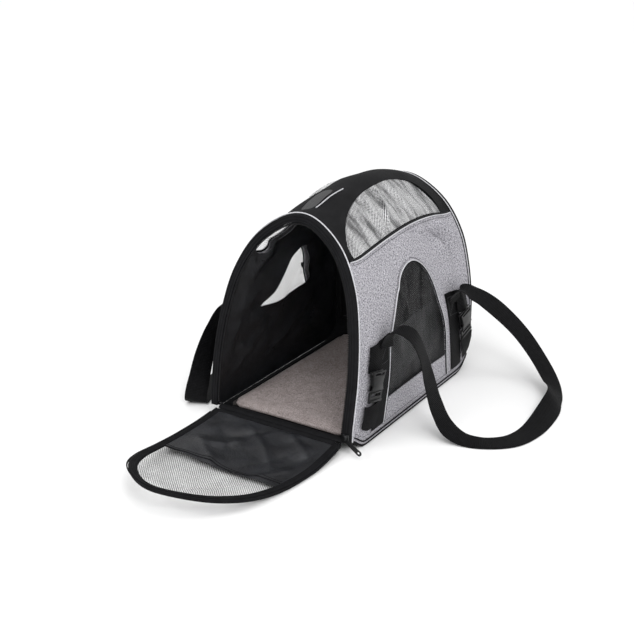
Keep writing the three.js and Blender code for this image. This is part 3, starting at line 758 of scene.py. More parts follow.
def shell(name, outline, holes, spacing, paint, place, body, nodes):
    """A thin closed cloth: place(points, k) puts flat points on face k, 0 or 1."""
    points, faces = flat_net(outline, holes, spacing)
    n = len(points)
    a, b, c = points[faces].transpose(1, 0, 2)
    area = 0.5 * ((b - a)[:, 0] * (c - a)[:, 1] - (b - a)[:, 1] * (c - a)[:, 0])
    faces[area < 0] = faces[area < 0][:, ::-1]
    sides = np.vstack([faces[:, [0, 1]], faces[:, [1, 2]], faces[:, [2, 0]]])
    seen = {tuple(s) for s in sides.tolist()}
    rim_edges = [s for s in sides.tolist() if (s[1], s[0]) not in seen]
    all_faces = faces.tolist() + (faces[:, ::-1] + n).tolist()
    all_faces += [[s[0], s[0] + n, s[1] + n, s[1]] for s in rim_edges]
    both = np.vstack([place(points, 1), place(points, 0)])
    made = finish_piece(name, both, all_faces, paint, np.vstack([points, points]) * MM, 60)
    put(made, body, *nodes)
    return made


def on_wall(side, outer, inner, extra=None):
    """Lays flat points on the wall, between two offsets from it; extra(u, y) moves them off it."""
    def place(points, k):
        u = on_side(side, points[:, 0] / ROUND)
        more = extra(u, points[:, 1]) if extra else 0
        return wall(u, points[:, 1], (outer if k else inner) + more)
    return place


# ---------- outlines on the flat wall, as [round, along] in millimetres ----------


def arch_half(z):
    """Half the width of a side's arch window at height z."""
    return (ARCH_HALF * np.sqrt(np.maximum(1 - (z / ARCH_TOP) ** 2, 0))
            + ARCH_FLARE * np.maximum(0, 1 - z / ARCH_FLARE_HEIGHT) ** 2)


def arch_loop(low, inset=0.0, count=20):
    z = low + inset + (ARCH_TOP - 0.3 - inset - low - inset) * np.sin(np.linspace(0, math.pi / 2, count))
    a = u_at_height(z) * ROUND
    half = np.maximum(arch_half(z) - inset, 0.4)
    return np.vstack([np.stack([a, ARCH_MID_Y - half], -1), np.stack([a, ARCH_MID_Y + half], -1)[::-1]])


def window_loop(inset=0.0, count=18):
    h = 0.999 * np.sin(np.linspace(0, math.pi / 2, count))
    half = WINDOW_HALF - inset
    front = WINDOW_MID_Y - half * (1 - h ** 2.1) ** (1 / 2.1)
    rear = WINDOW_MID_Y + half * (1 - h ** 4) ** 0.25
    low, high = WINDOW_LOW_U * ROUND + inset, WINDOW_TOP_U * ROUND - inset
    a = low + (high - low) * h
    return np.vstack([np.stack([a, front], -1), np.stack([a, rear], -1)[::-1]])


def vent_loop(inset=0.0, count=24):
    t = np.linspace(0, 2 * math.pi, count, endpoint=False)
    power = 0.6
    a = (VENT_HALF_U * ROUND - inset) * np.sign(np.sin(t)) * np.abs(np.sin(t)) ** power
    y = (VENT_HALF - inset) * np.sign(np.cos(t)) * np.abs(np.cos(t)) ** power
    return np.stack([VENT_MID_U * ROUND + a, VENT_MID_Y + y], -1)


def flip(loop):
    """The loop mirrored to the left side."""
    return np.stack([ROUND - loop[:, 0], loop[:, 1]], -1)


def band_loop(u0, u1, gap, count=40):
    """The wall's whole length between two u, a gap short of its front and rear edges."""
    u = np.linspace(u0, u1, count)
    z = section(u)[1]
    front = np.stack([u * ROUND, mouth_y(z) + gap], -1)
    rear = np.stack([u * ROUND, rear_y(z) - gap], -1)
    return np.vstack([front, rear[::-1]])


def window_crease(u, y):
    """Creases in the net of a roof window."""
    u = np.minimum(u, 1 - u)
    h = (u - WINDOW_LOW_U) / (WINDOW_TOP_U - WINDOW_LOW_U)
    main = 8.5 * hump((y - (196 + 34 * h - 20 * (1 - h) ** 3)) / 5)
    near = -5.0 * hump((y - (150 + 18 * h + 14 * np.sin(3 * h))) / 9)
    far = 4.0 * hump((y - (282 - 22 * h)) / 8)
    slack = -3.5 * np.sin(np.clip(h, 0, 1) * math.pi)
    return (main + near + far) * np.sin(np.clip(h, 0, 1) * math.pi) ** 0.7 + slack


def arch_crease(u, y):
    """Creases in the net of an arch window."""
    z = section(u)[1]
    t = np.clip(1 - ((y - ARCH_MID_Y) / ARCH_HALF) ** 2 - (z / ARCH_TOP) ** 2, 0, 1)
    line = 4.2 * hump((y - (150 + 0.62 * (215 - z))) / 11)
    line = line - 3.0 * hump((y - (120 + 0.5 * (215 - z))) / 13)
    return (line - 3.5) * smooth(t * 3)


# ---------- walls ----------


def add_walls():
    for side in SIDES:
        place = on_wall(side, 0, WALL_IN)
        shell(f"{side}_panel_cloth", band_loop(0.001, SEAM_U - 0.001, 1), [arch_loop(ARCH_LOW)], 6,
              "heather", place, "bag", [f"{side}_side_panel"])
        low = arch_loop(ARCH_LOW, 0.6)
        foot = low[low[:, 0] <= u_at_height(POCKET_HEIGHT) * ROUND]
        corner = u_at_height(POCKET_HEIGHT) * ROUND
        half = arch_half(POCKET_HEIGHT) - 0.6
        count = len(foot) // 2
        top = [(corner, ARCH_MID_Y - half), (corner, ARCH_MID_Y + half)]
        foot = np.vstack([foot[:count], top, foot[count:]])
        shell(f"{side}_pocket_cloth", foot, [], 6, "heather", on_wall(side, 0.2, WALL_IN), "bag",
              [f"{side}_pocket_base"])
        shell(f"{side}_arch_net", arch_loop(POCKET_HEIGHT, 0.6), [], 5, "side_net",
              on_wall(side, MESH_OUT, MESH_IN, arch_crease), "bag", [f"{side}_side_mesh"])
        shell(f"{side}_window_net", window_loop(0.6), [], 4, "window_net",
              on_wall(side, MESH_OUT, MESH_IN, window_crease), "bag", [f"{side}_roof_window"])
    windows = [window_loop(), flip(window_loop())]
    shell("roof_cloth", band_loop(SEAM_U + 0.001, 0.999 - SEAM_U, 1), [*windows, vent_loop()], 6, "roof",
          on_wall("right", 0, WALL_IN), "bag", ["roof_panel"])
    shell("vent_net", vent_loop(0.5), [], 4, "vent_net", on_wall("right", MESH_OUT, MESH_IN), "bag",
          ["ridge_vent_mesh"])
    arches = [arch_loop(LINING_SILL), flip(arch_loop(LINING_SILL))]
    shell("lining_cloth", band_loop(0.004, 0.996, 2), [*arches, *windows, vent_loop()], 7, "satin",
          on_wall("right", LINING_OUT, LINING_IN, lining_crush), "bag", ["cabin_lining"])


def lining_crush(u, y):
    """The lining hangs a little loose inside the wall; the offset is never outwards."""
    a = u * ROUND
    z = section(u)[1]
    edge = smooth((y - mouth_y(z)) / 30) * smooth((rear_y(z) - y) / 30) * smooth((z - 24) / 40)
    wave = np.sin(a / 19 + 0.8 * np.sin(y / 33)) * np.sin(y / 27 - a / 61 + 0.5 * np.sin(a / 24))
    more = np.sin(a / 9.5 - y / 21 + np.sin(y / 40)) * np.sin(y / 15 + a / 44)
    long = np.sin((a * 0.8 + y) / 26 + 1.1 * np.sin(a / 70)) * np.sin((a - 0.7 * y) / 83 + 0.4)
    folds = sum(fold(u, y, *one) for one in LINING_FOLDS)
    return -(5.4 + 2.0 * wave + 1.0 * more + 2.2 * long + folds) * edge


# Longer folds of the lining, as start and end [u, y], width and depth in millimetres.
LINING_FOLDS = [
    ((0.955, 30), (0.880, 110), 6, 3.2), ((0.940, 75), (0.850, 165), 7, -2.6),
    ((0.965, 110), (0.900, 230), 6, 3.0), ((0.900, 20), (0.820, 60), 6, 3.0),
    ((0.860, 110), (0.800, 215), 8, -2.4), ((0.930, 190), (0.860, 300), 7, 2.8),
    ((0.700, 24), (0.640, 70), 6, 2.6), ((0.760, 30), (0.700, 60), 6, -2.4),
    ((0.560, 20), (0.600, 90), 8, 2.4),
]

# ---------- rims, piping and zips ----------


def rim_body(name, edge_y, corners, paint, body, nodes, start=0.0):
    """A body with one section, [r, a] corners, all the way round the front or rear edge."""
    u = np.linspace(start, 1 - start, 121)
    corners = np.asarray(corners, float)
    rings = np.stack([rim(u, np.full(len(u), r), np.full(len(u), a), edge_y) for r, a in corners], 1)
    width = np.concatenate([[0], np.cumsum(np.linalg.norm(np.diff(corners, axis=0), axis=1))])
    uv = flat_uv(width[None], u[:, None] * ROUND)
    return put(loft(name, rings, paint, uv, 50), body, *nodes)


def round_section(r, a, radius, count=10):
    t = np.linspace(0, 2 * math.pi, count, endpoint=False)
    return np.stack([r + radius * np.cos(t), a + radius * np.sin(t)], -1)


def soft_box(r0, r1, a0, a1, radius=1.2, ridges=()):
    """A rounded box section in [r, a], going round from its outer front corner, with ridges in its front."""
    out = rounded(r0, r1, a0, a1, radius)
    out = out[-4:] + out[:-4]
    for r, depth in ridges:
        out += [(r - 0.9, a0), (r, a0 + depth), (r + 0.9, a0)]
    return out


def add_rims():
    front = soft_box(-RING_WIDTH, -0.4, -RING_DEPTH, 0.4, 1.6, [(-9.4, 0.9), (-4.6, 0.9)])
    rim_body("mouth_binding", mouth_y, front, "black", "bag", ["front_ring"])
    rim_body("mouth_piping", mouth_y, round_section(1.1, -1, 1.1), "piping", "bag", ["front_piping"])
    tape = soft_box(-RING_WIDTH - 2.2, -RING_WIDTH - 0.2, -6.2, -4.6, 0.5)
    rim_body("mouth_zip_tape", mouth_y, tape, "black", "bag", ["front_zip_body"], 0.008)
    rear = soft_box(-REAR_RING_WIDTH, -0.5, 0.6, REAR_RING_DEPTH, 3.2)
    rim_body("rear_binding", rear_y, rear, "black", "bag", ["rear_ring"])
    rim_body("rear_rim_piping", rear_y, round_section(0.9, 1, 0.9), "piping", "bag", ["rear_piping"])
    tape = soft_box(-REAR_RING_WIDTH - ZIP_WIDTH - 4, 1 - REAR_RING_WIDTH, 7.4, 8.8, 0.5)
    rim_body("rear_zip_tape", rear_y, tape, "black", "bag", ["rear_zip_body"], 0.008)
    add_teeth("mouth_zip_teeth", mouth_y, -RING_WIDTH - 3.0, -5.4)
    add_teeth("rear_zip_teeth", rear_y, -REAR_RING_WIDTH - 3.0, 11.2)
    put(bar_along_x("rear_sill", 131, rounded(405.6, 416.6, 37.6, 44.2, 2.6)), "bag")
    threshold = bar_along_x("mouth_threshold", 119, [(-7.6, 15.0), (-1.2, 15.0), (4.0, 15.6), (5.2, 17.0),
                                                     (4.4, 18.6), (0, 19.6), (-5, 19.0), (-7.8, 17.4)])
    put(threshold, "bag", "front_threshold")


def add_teeth(name, edge_y, r, a):
    """The zip's coil: small teeth along the tape's edge."""
    pitch = 3.2
    count = int(ROUND * 0.98 / pitch)
    u = np.linspace(0.012, 0.988, count)
    half = 0.9 / ROUND
    points = []
    faces = []
    for one in u:
        base = len(points)
        for du in (-half, half):
            for dr, da in ((-0.9, -0.8), (0.9, -0.8), (0.9, 0.8), (-0.9, 0.8)):
                points.append(rim(one + du, r + dr, a + da, edge_y))
        faces += [[base + k for k in f] for f in ((0, 1, 2, 3), (7, 6, 5, 4), (0, 4, 5, 1), (1, 5, 6, 2),
                                                  (2, 6, 7, 3), (3, 7, 4, 0))]
    put(finish_piece(name, points, faces, "plastic"), "bag")


def bar_along_x(name, half, outline):
    """A black bar along X from -half to half, with an outline in [y, z] of the tunnel."""
    x = np.linspace(-half, half, 41)
    outline = np.asarray(outline, float)
    rings = np.zeros((len(x), len(outline), 3))
    rings[..., 0] = x[:, None]
    rings[..., 1] = outline[None, :, 0] - MOUTH_TO_ORIGIN
    rings[..., 2] = outline[None, :, 1]
    length = np.cumsum(np.concatenate([[0], np.linalg.norm(np.diff(outline, axis=0), axis=1)]))
    return loft(name, rings * MM, "black", flat_uv(length[None], x[:, None]))


def ring_tube(centre, along, out, radius, count=8):
    """Rings of a round tube about a centre line, in metres: out is square to along."""
    across = np.cross(along, out)
    turn = np.linspace(0, 2 * math.pi, count, endpoint=False)
    return centre[:, None] + radius * (np.cos(turn)[None, :, None] * across[:, None]
                                       + np.sin(turn)[None, :, None] * out[:, None])


def wall_tube(name, path, radius, paint, nodes, steps=80):
    """A round cord on the wall along path(t), which gives u and y."""
    t = np.linspace(0, 1, steps + 1)
    u, y = path(t)
    lift = 0.4
    centre = wall(u, y, radius + lift)
    along = unit(np.gradient(centre, axis=0))
    out = unit(wall(u, y, radius + lift + 1) - centre)
    return put(loft(name, ring_tube(centre, along, out, MM * radius), paint), "bag", *nodes)


def stitches(name, path, paint="thread", pitch=4.2, dash=2.8, radius=0.42, lift=0.35):
    """A row of thread stitches on the wall along path(t), which gives u and y."""
    fine = np.linspace(0, 1, 400)
    line = wall(*path(fine), lift)
    share, length = by_length(line)
    count = max(int(length / MM / pitch), 1)
    points = []
    faces = []
    for k in range(count):
        ends = [(k + 0.5) * pitch + s * dash / 2 for s in (-1, 1)]
        t = np.interp(np.array(ends) * MM / length, share, fine)
        a, b = wall(*path(t), lift)
        u, y = path(t)
        out = (wall(u, y, lift + 1) - wall(u, y, lift)) / MM
        along = unit(b - a)
        base = len(points)
        for p, o in ((a, out[0]), (b, out[1])):
            across = np.cross(along, o)
            for turn in (0, 1.05, 2.09, 3.14):
                points.append(p + MM * radius * (math.cos(turn) * across + 1.3 * math.sin(turn) * o))
        faces += [[base + i for i in f] for f in ((0, 1, 5, 4), (1, 2, 6, 5), (2, 3, 7, 6), (3, 0, 4, 7),
                                                  (3, 2, 1, 0), (4, 5, 6, 7))]
    return put(finish_piece(name, points, faces, paint), "bag")


def along_seam(side, u, gap):
    """A path along the wall at one u, a gap short of its front and rear edges."""
    def path(t):
        z = section(np.array(u))[1]
        y = mouth_y(z) + gap + (rear_y(z) - gap - mouth_y(z) - gap) * t
        return np.full_like(t, on_side(side, u)), y
    return path


def round_arch(side, grow, low=14):
    """A path round the arch window, grow outside its edge."""
    def path(t):
        t = np.asarray(t)
        top = ARCH_TOP - 0.3
        z = low + (top - low) * np.sin(math.pi * t) ** 0.75
        half = arch_half(z) + grow * np.sqrt(np.clip(1 - (z / ARCH_TOP) ** 2, 0, 1))
        a = u_at_height(z) + grow / ROUND * (z / ARCH_TOP) ** 3
        return on_side(side, a), ARCH_MID_Y - np.sign(np.cos(math.pi * t)) * half
    return path


def vent_side(t):
    """The path of the light cord beside the ridge vent."""
    return 0.4945 - 0.0055 * t, 101 + 75 * t


def add_piping():
    for side in SIDES:
        wall_tube(f"{side}_seam_cord", along_seam(side, SEAM_U - 0.001, 4), 1.0, "piping",
                  [f"{side}_top_piping"])
        wall_tube(f"{side}_arch_cord", round_arch(side, 1.2), 1.1, "piping", [f"{side}_arch_piping"], 140)
        wall_tube(f"{side}_arch_hem", round_arch(side, -1.0), 1.0, "black", [], 140)
        wall_tube(f"{side}_base_cord", along_seam(side, 0.008, 5), 1.2, "black", [f"{side}_bottom_piping"])
        stitches(f"{side}_seam_thread", along_seam(side, SEAM_U - 0.0072, 6))
        stitches(f"{side}_roof_thread", along_seam(side, SEAM_U + 0.0028, 6), "black_thread")
        stitches(f"{side}_arch_thread", round_arch(side, 5.5))
        stitches(f"{side}_base_thread", along_seam(side, 0.017, 8))
    wall_tube("vent_cord", vent_side, 1.0, "piping", ["ridge_vent_piping"], 40)


# ---------- base ----------


def add_base():
    turn = np.linspace(0, math.pi / 2, 16)
    rows = np.concatenate([np.linspace(1, FRONT_LIFT_LENGTH, 10), np.linspace(45, 350, 14),
                           TUNNEL_LENGTH - REAR_RADIUS * (1 - np.sin(turn)), [TUNNEL_LENGTH + 3]])
    x = np.linspace(-1, 1, 13)
    half = face(0.0, rows)[:, 0] - 0.3
    points = []
    for k, lift in ((1, -0.5), (0, -FOOT)):
        z = foot_height(rows) + lift
        grid = np.zeros((len(rows), len(x), 3))
        grid[..., 0] = half[:, None] * x[None]
        grid[..., 1] = rows[:, None] - MOUTH_TO_ORIGIN
        grid[..., 2] = z[:, None]
        points.append(grid.reshape(-1, 3))
    both = np.vstack(points) * MM
    made = finish_piece("base_cloth", both, sheet_faces(len(rows), len(x)), "black", both[:, :2], 60)
    put(made, "bag", "bottom_panel")
    board = frame["nodes"]["base_board"]
    board.data.materials.clear()
    board.data.materials.append(PAINTS["board"])


def rounded_slab(half_x, y0, y1, z0, z1, corner):
    """A slab with round corners, as a closed bmesh."""
    work = bmesh.new()
    outline = rounded(-half_x, half_x, y0, y1, corner, 8)
    low, high = [[work.verts.new((x, y, z)) for x, y in outline] for z in (z0, z1)]
    work.faces.new(low[::-1])
    work.faces.new(high)
    for i in range(len(outline)):
        j = (i + 1) % len(outline)
        work.faces.new((low[i], low[j], high[j], high[i]))
    return work


def puffed(pad, start):
    """Where the pad's points go in a cloth simulation under pressure, each at most PAD_PUFF away."""
    cloth = pad.modifiers.new("cloth", "CLOTH")
    settings = cloth.settings
    settings.quality = 5
    settings.mass = 0.3
    settings.use_pressure = True
    settings.uniform_pressure_force = 4
    settings.effector_weights.gravity = 0
    cloth.collision_settings.use_collision = False
    for f in range(1, 21):
        bpy.context.scene.frame_set(f)
    graph = bpy.context.evaluated_depsgraph_get()
    shift = np.array([v.co for v in pad.evaluated_get(graph).data.vertices]) - start
    pad.modifiers.remove(cloth)
    bpy.context.scene.frame_set(1)
    size = np.linalg.norm(shift, axis=1, keepdims=True)
    return start + shift * np.minimum(1, PAD_PUFF / np.maximum(size, 1e-9))




def add_pad():
    """The fleece pad: a cloth simulation puffs it up, then it is pressed flat where it lies."""
    node_low, node_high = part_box("base_pad")
    inset = 0.005
    front = node_low.y - 0.003
    rear = node_high.y + 0.022
    work = rounded_slab(node_high.x - inset, front + inset, rear - inset, node_low.z + 0.004,
                        node_high.z - 0.0035, 0.024)
    mesh = bpy.data.meshes.new("base_fleece")
    work.to_mesh(mesh)
    work.free()
    pad = bpy.data.objects.new("base_fleece", mesh)
    bpy.context.scene.collection.objects.link(pad)
    view = bpy.context.view_layer
    view.objects.active = pad
    pad.select_set(True)
    remesh = pad.modifiers.new("remesh", "REMESH")
    remesh.mode = "VOXEL"
    remesh.voxel_size = 0.0055
    bpy.ops.object.modifier_apply(modifier="remesh")
    start = np.array([v.co for v in pad.data.vertices])
    start = puffed(pad, start)
    quilt = np.array([noise.noise(Vector((p[0] * 14, p[1] * 14, 0.3))) for p in start])
    up = smooth((start[:, 2] - 0.012) / 0.006)
    start[:, 2] += up * (0.0007 * quilt)
    start[:, 2] = np.clip(start[:, 2], node_low.z, node_high.z + 0.0012)
    start[:, 2] += pad_rise(start[:, 1])
    pad.data.vertices.foreach_set("co", start.astype(np.float32).ravel())
    detail = pad.modifiers.new("subdivision", "SUBSURF")
    detail.levels = 1
    detail.render_levels = 1
    bpy.ops.object.modifier_apply(modifier="subdivision")
    pad.select_set(False)
    pad.data.shade_smooth()
    pad.data.materials.append(PAINTS["felt"])
    put(pad, "bag", "base_pad")
    half = node_high.x - PAD_EDGE
    edge = np.array(rounded(-half, half, front + PAD_EDGE, rear - PAD_EDGE, 0.026, 10))
    height = 0.0135 + pad_rise(edge[:, 1]) + 0.0007 * np.sin(edge[:, 0] * 190)
    tube_along("base_fleece_edge", np.column_stack([edge, height]), 0.0017, "bag", True)


def pad_rise(y):
    """How far the base's rear curve lifts the pad, in metres."""
    return (foot_height(np.minimum(y / MM + MOUTH_TO_ORIGIN, TUNNEL_LENGTH - 4)) - FOOT) * MM * (y > 0)


def tube_along(name, points, radius, body, closed=False):
    """A black round cord through points in metres, level from side to side."""
    along = np.gradient(points, axis=0)
    if closed:
        along = np.roll(points, -1, axis=0) - np.roll(points, 1, axis=0)
    along = unit(along)
    across = unit(np.cross(along, np.array([0, 0, 1.0])))
    rings = ring_tube(points, along, np.cross(across, along), radius)
    if not closed:
        return put(loft(name, rings, "black"), body)
    faces = grid_faces(*rings.shape[:2], closed_rows=True, closed_columns=True)
    return put(finish_piece(name, rings.reshape(-1, 3), faces, "black"), body)


# ---------- front door, lying open ----------


def door_drop(s):
    """The height of the door's middle surface at distance s from its hinge."""
    return DOOR_HINGE_Z + DOOR_DIP * s + DOOR_RISE * s * s


def door_reach(s):
    """How far from the hinge along the floor the door's surface lies at distance s."""
    slope = DOOR_DIP + 2 * DOOR_RISE * s
    return s - (slope ** 3 - DOOR_DIP ** 3) / (12 * DOOR_RISE)


def door_point(x, s, lift):
    """The open door lies a little short and its left edge stands a little off the floor."""
    t = np.clip(s / 334, 0, 1)
    lift = lift + 13 * t ** 2 + 22 * t * smooth((15 - x) / 140)
    x = x - 10 * t ** 1.3
    s = s * (1 - 0.03 * t)
    z = np.maximum(door_drop(s) + lift, 0.3)
    p = np.stack(np.broadcast_arrays(x, DOOR_HINGE_Y - door_reach(s) - MOUTH_TO_ORIGIN, z), -1)
    return p * MM


def door_outline(u, w):
    """The flat door's outline as x and s, w inside its edge."""
    x, z = section(u)
    xa, za = section(np.maximum(u - U_STEP, 0))
    xb, zb = section(np.minimum(u + U_STEP, 1))
    length = np.hypot(xb - xa, zb - za)
    inwards = DOOR_INSET + w
    s = (z + inwards * (xb - xa) / length - DOOR_HINGE_Z) * DOOR_STRETCH
    return x - inwards * (zb - za) / length, s


def door_u(s, w):
    u = np.linspace(0, 0.5, 400)
    return np.interp(s, door_outline(u, w)[1], u)


def door_half(s, w):
    return door_outline(door_u(s, w), w)[0]


# Soft folds of the open door: start and end as [x, s], width and height in millimetres before scaling.
DOOR_FOLDS = [
    ((-40, 20), (60, 110), 9, 3.4), ((-80, 40), (-10, 120), 8, -2.6), ((20, 10), (95, 60), 8, 3.0),
    ((-95, 90), (-20, 150), 8, 2.8), ((60, 60), (20, 150), 9, -2.8), ((90, 90), (60, 148), 7, 2.6),
    ((-20, 60), (-70, 100), 7, 2.6), ((-60, 165), (-20, 240), 8, 3.0), ((30, 160), (60, 230), 9, 2.8),
    ((-10, 150), (20, 280), 10, -2.8), ((-80, 190), (-50, 250), 8, -2.4), ((70, 170), (40, 260), 8, 2.4),
    ((0, 20), (-60, 60), 7, -2.4), ((100, 20), (70, 100), 8, -2.2),
]


def door_relief(x, s):
    x, s = np.asarray(x, float), np.asarray(s, float)
    out = 0 * x
    for start, end, width, height in DOOR_FOLDS:
        t, across = along_fold(x, s, start, end, 6, 2.6)
        ends = smooth(t / 0.4 + 0.3) * smooth((1.25 - t) / 0.5)
        out = out + height * np.exp(-np.abs(across / width) ** 1.2) * ends
    return 1.5 * out + 1.0 * np.sin(x / 11 + s / 19) * np.sin(s / 13 - x / 23)


def door_shell(name, s0, s1, inset, paint, thick, rise, nodes):
    """Cloth over the door from s0 to s1, with its middle raised over the door's surface."""
    s = np.linspace(s0, s1, 30)
    half = door_half(s, inset)
    outline = np.vstack([np.stack([half, s], -1), np.stack([-half, s], -1)[::-1]])

    def place(points, k):
        x, along = points[:, 0], points[:, 1]
        side_gap = door_half(along, inset) - np.abs(x)
        free = smooth(side_gap / 16) * smooth(along / 14) * smooth((DOOR_TOP - inset - along) / 16)
        lift = np.maximum(door_relief(x, along) * free, DOOR_LOW - door_drop(along)) + rise
        return door_point(x, along, lift + (thick if k else -thick) / 2)
    return shell(name, outline, [], 5, paint, place, "front_door", nodes)


DOOR_TOP = float(door_outline(np.array(0.5), 0)[1])


def add_front_door():
    inset = BINDING_WIDTH - 1.0
    # The door's satin takes the lighter copy of the satin: painted light.
    door_shell("door_satin_painted_lighter", 3, DOOR_SPLIT + 5, inset, "door_satin_painted_lighter", 1.2, 0.5, ["door_fabric"])
    door_shell("door_net", DOOR_SPLIT + 1, DOOR_TOP - inset - 2, inset, "door_net", 0.9, -0.3, ["door_mesh"])
    u0 = float(door_u(3, 0))
    u = np.linspace(u0, 1 - u0, 150)
    ridges = [(0.3, 0.0), (0.8, 1.7), (2.4, 2.6), (4.2, 2.35), (5.0, 1.7), (5.8, 2.4), (7.6, 2.45),
              (8.4, 1.75), (9.2, 2.4), (11.4, 2.3), (12.6, 1.5), (13.6, 0.6)]
    under = [(13.6, -0.6), (12.4, -1.6), (8, -3.6), (4, -6.2), (1.6, -6.4), (0.4, -5.0)]
    rings = []
    for w, lift in ridges + under:
        x, s = door_outline(u, w)
        rings.append(door_point(x, np.maximum(s, 1.5), lift))
    rings = np.stack(rings, 1)
    width = np.array([w for w, _ in ridges + under])
    uv = flat_uv(width[None], u[:, None] * ROUND)
    put(loft("door_rim_tape", rings, "black", uv), "front_door", "door_binding")
    rings = []
    for w, lift in [(-2.4, -0.7), (-0.3, -0.7), (-0.3, 0.5), (-2.4, 0.5)]:
        x, s = door_outline(u[2:-2], w)
        rings.append(door_point(x, s, lift))
    put(loft("door_zip_tape", np.stack(rings, 1), "black"), "front_door", "front_zip_door")
    split = np.linspace(-1, 1, 60)
    half = float(door_half(np.array(DOOR_SPLIT), inset))
    for name, shift, radius in (("door_split_seam", 0, 1.3), ("door_split_hem", -6, 0.7)):
        s = DOOR_SPLIT + shift + 4 * np.sin(split * 5) - 3 * split
        x = split * half
        free = smooth((half - np.abs(x)) / 16)
        line = door_point(x, s, np.maximum(door_relief(x, s) * free, DOOR_LOW - door_drop(s)) + 0.9)
        tube_along(name, line, radius * MM, "front_door")
    hinge_strip("door_hinge_cloth", (-6.0, 16.6), (-19.0, 16.0), (0, 1.5), 112)


def hinge_strip(name, fixed, moving, out, half):
    """Cloth between a fixed edge and a door's edge, each [y, z], bulging by out."""
    rows = 9
    x = np.linspace(-half, half, 61)
    fixed, moving, out = [np.array(v, float) for v in (fixed, moving, out)]
    points = []
    for side in (0.5, -0.5):
        for t in np.linspace(0, 1, rows):
            ripple = math.sin(math.pi * t) * (1 + 0.22 * np.sin(x / 7.0))
            y, z = [fixed[k] + (moving[k] - fixed[k]) * t + out[k] * (ripple + side * 0.6) for k in (0, 1)]
            points.append(np.stack([x, y - MOUTH_TO_ORIGIN, z], -1))
    grid = np.stack(points).reshape(-1, 3) * MM
    strip = finish_piece(name, grid, sheet_faces(rows, len(x)), "black", grid[:, :2], 60)
    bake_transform(strip)


# ---------- rear door, zipped shut ----------


def add_rear_door():
    inset = REAR_RING_WIDTH + ZIP_WIDTH + 0.4
    section_points = soft_box(-inset - BINDING_WIDTH, -inset, 9.2, 12.9, 1.4)
    rim_body("rear_door_tape", rear_y, section_points, "black", "rear_door", ["rear_door_binding"], 0.012)
    u = np.linspace(0.012, 0.5, 60)
    edge = rim(u, np.full(len(u), -inset - BINDING_WIDTH + 1.2), np.full(len(u), 11.0), rear_y) / MM
    outline = np.vstack([edge[:, [0, 2]], (edge[:, [0, 2]] * (-1, 1))[::-1]])

    def place(points, k):
        x, z = points[:, 0], points[:, 1]
        rough = 1.6 * np.sin(x / 31 + z / 57) * np.sin(z / 37 - x / 71)
        gap = np.min(np.linalg.norm(points[:, None] - outline[None], axis=2), axis=1)
        y = rear_y(z) - MOUTH_TO_ORIGIN + 10.6 + rough * smooth(gap / 30) - 3 * smooth(gap / 90)
        return np.stack([x, y + (0.7 if k else -0.7), z], -1) * MM
    shell("rear_door_cloth", outline, [], 6, "roof", place, "rear_door", ["rear_door_panel"])
    hinge_strip("rear_hinge_cloth", (411, 43), (413, 57), (1.2, 0), 121)


# ---------- webbing, clips and handles ----------


def slanted(y, z, slope):
    """The middle line of a slanted strap through y at height z, as a function of the height."""
    return lambda height: y + slope * (height - z)


def strap_on_wall(name, side, z0, z1, centre, width, low, high, body, nodes, bulge=0.0):
    """A strap sewn flat on a side panel: centre(z) gives its middle's y at height z."""
    z = np.linspace(z0, z1, 40)
    swell = bulge * np.sin(math.pi * np.linspace(0, 1, 40))[:, None] ** 2
    across = np.linspace(-0.5, 0.5, 9)
    edge_drop = 0.35 * (np.abs(across) * 2) ** 8
    points = []
    for offset, sign in ((high, -1), (low, 1)):
        u = on_side(side, u_at_height(z))[:, None] + 0 * across[None]
        y = centre(z)[:, None] + width * across[None]
        points.append(wall(u, y, offset + sign * edge_drop[None] + swell).reshape(-1, 3))
    flat = flat_uv(width * across[None], z[:, None])
    made = finish_piece(name, np.vstack(points), sheet_faces(len(z), len(across)), "webbing",
                        np.vstack([flat, flat]), 50)
    return put(made, body, *nodes)


# The outlines of a clip's two halves, as [across, up].
FEMALE = [(-19, 0), (-15, 10), (-18, 22), (-21, 31), (21, 31), (18, 22), (15, 10), (19, 0)]
MALE = [(-20, -19), (20, -19), (20, -1), (12, -1), (10.6, 12), (7.4, 15), (6.4, 0), (1.8, 0), (1.8, 13),
        (-1.8, 13), (-1.8, 0), (-6.4, 0), (-7.4, 15), (-10.6, 12), (-12, -1), (-20, -1)]


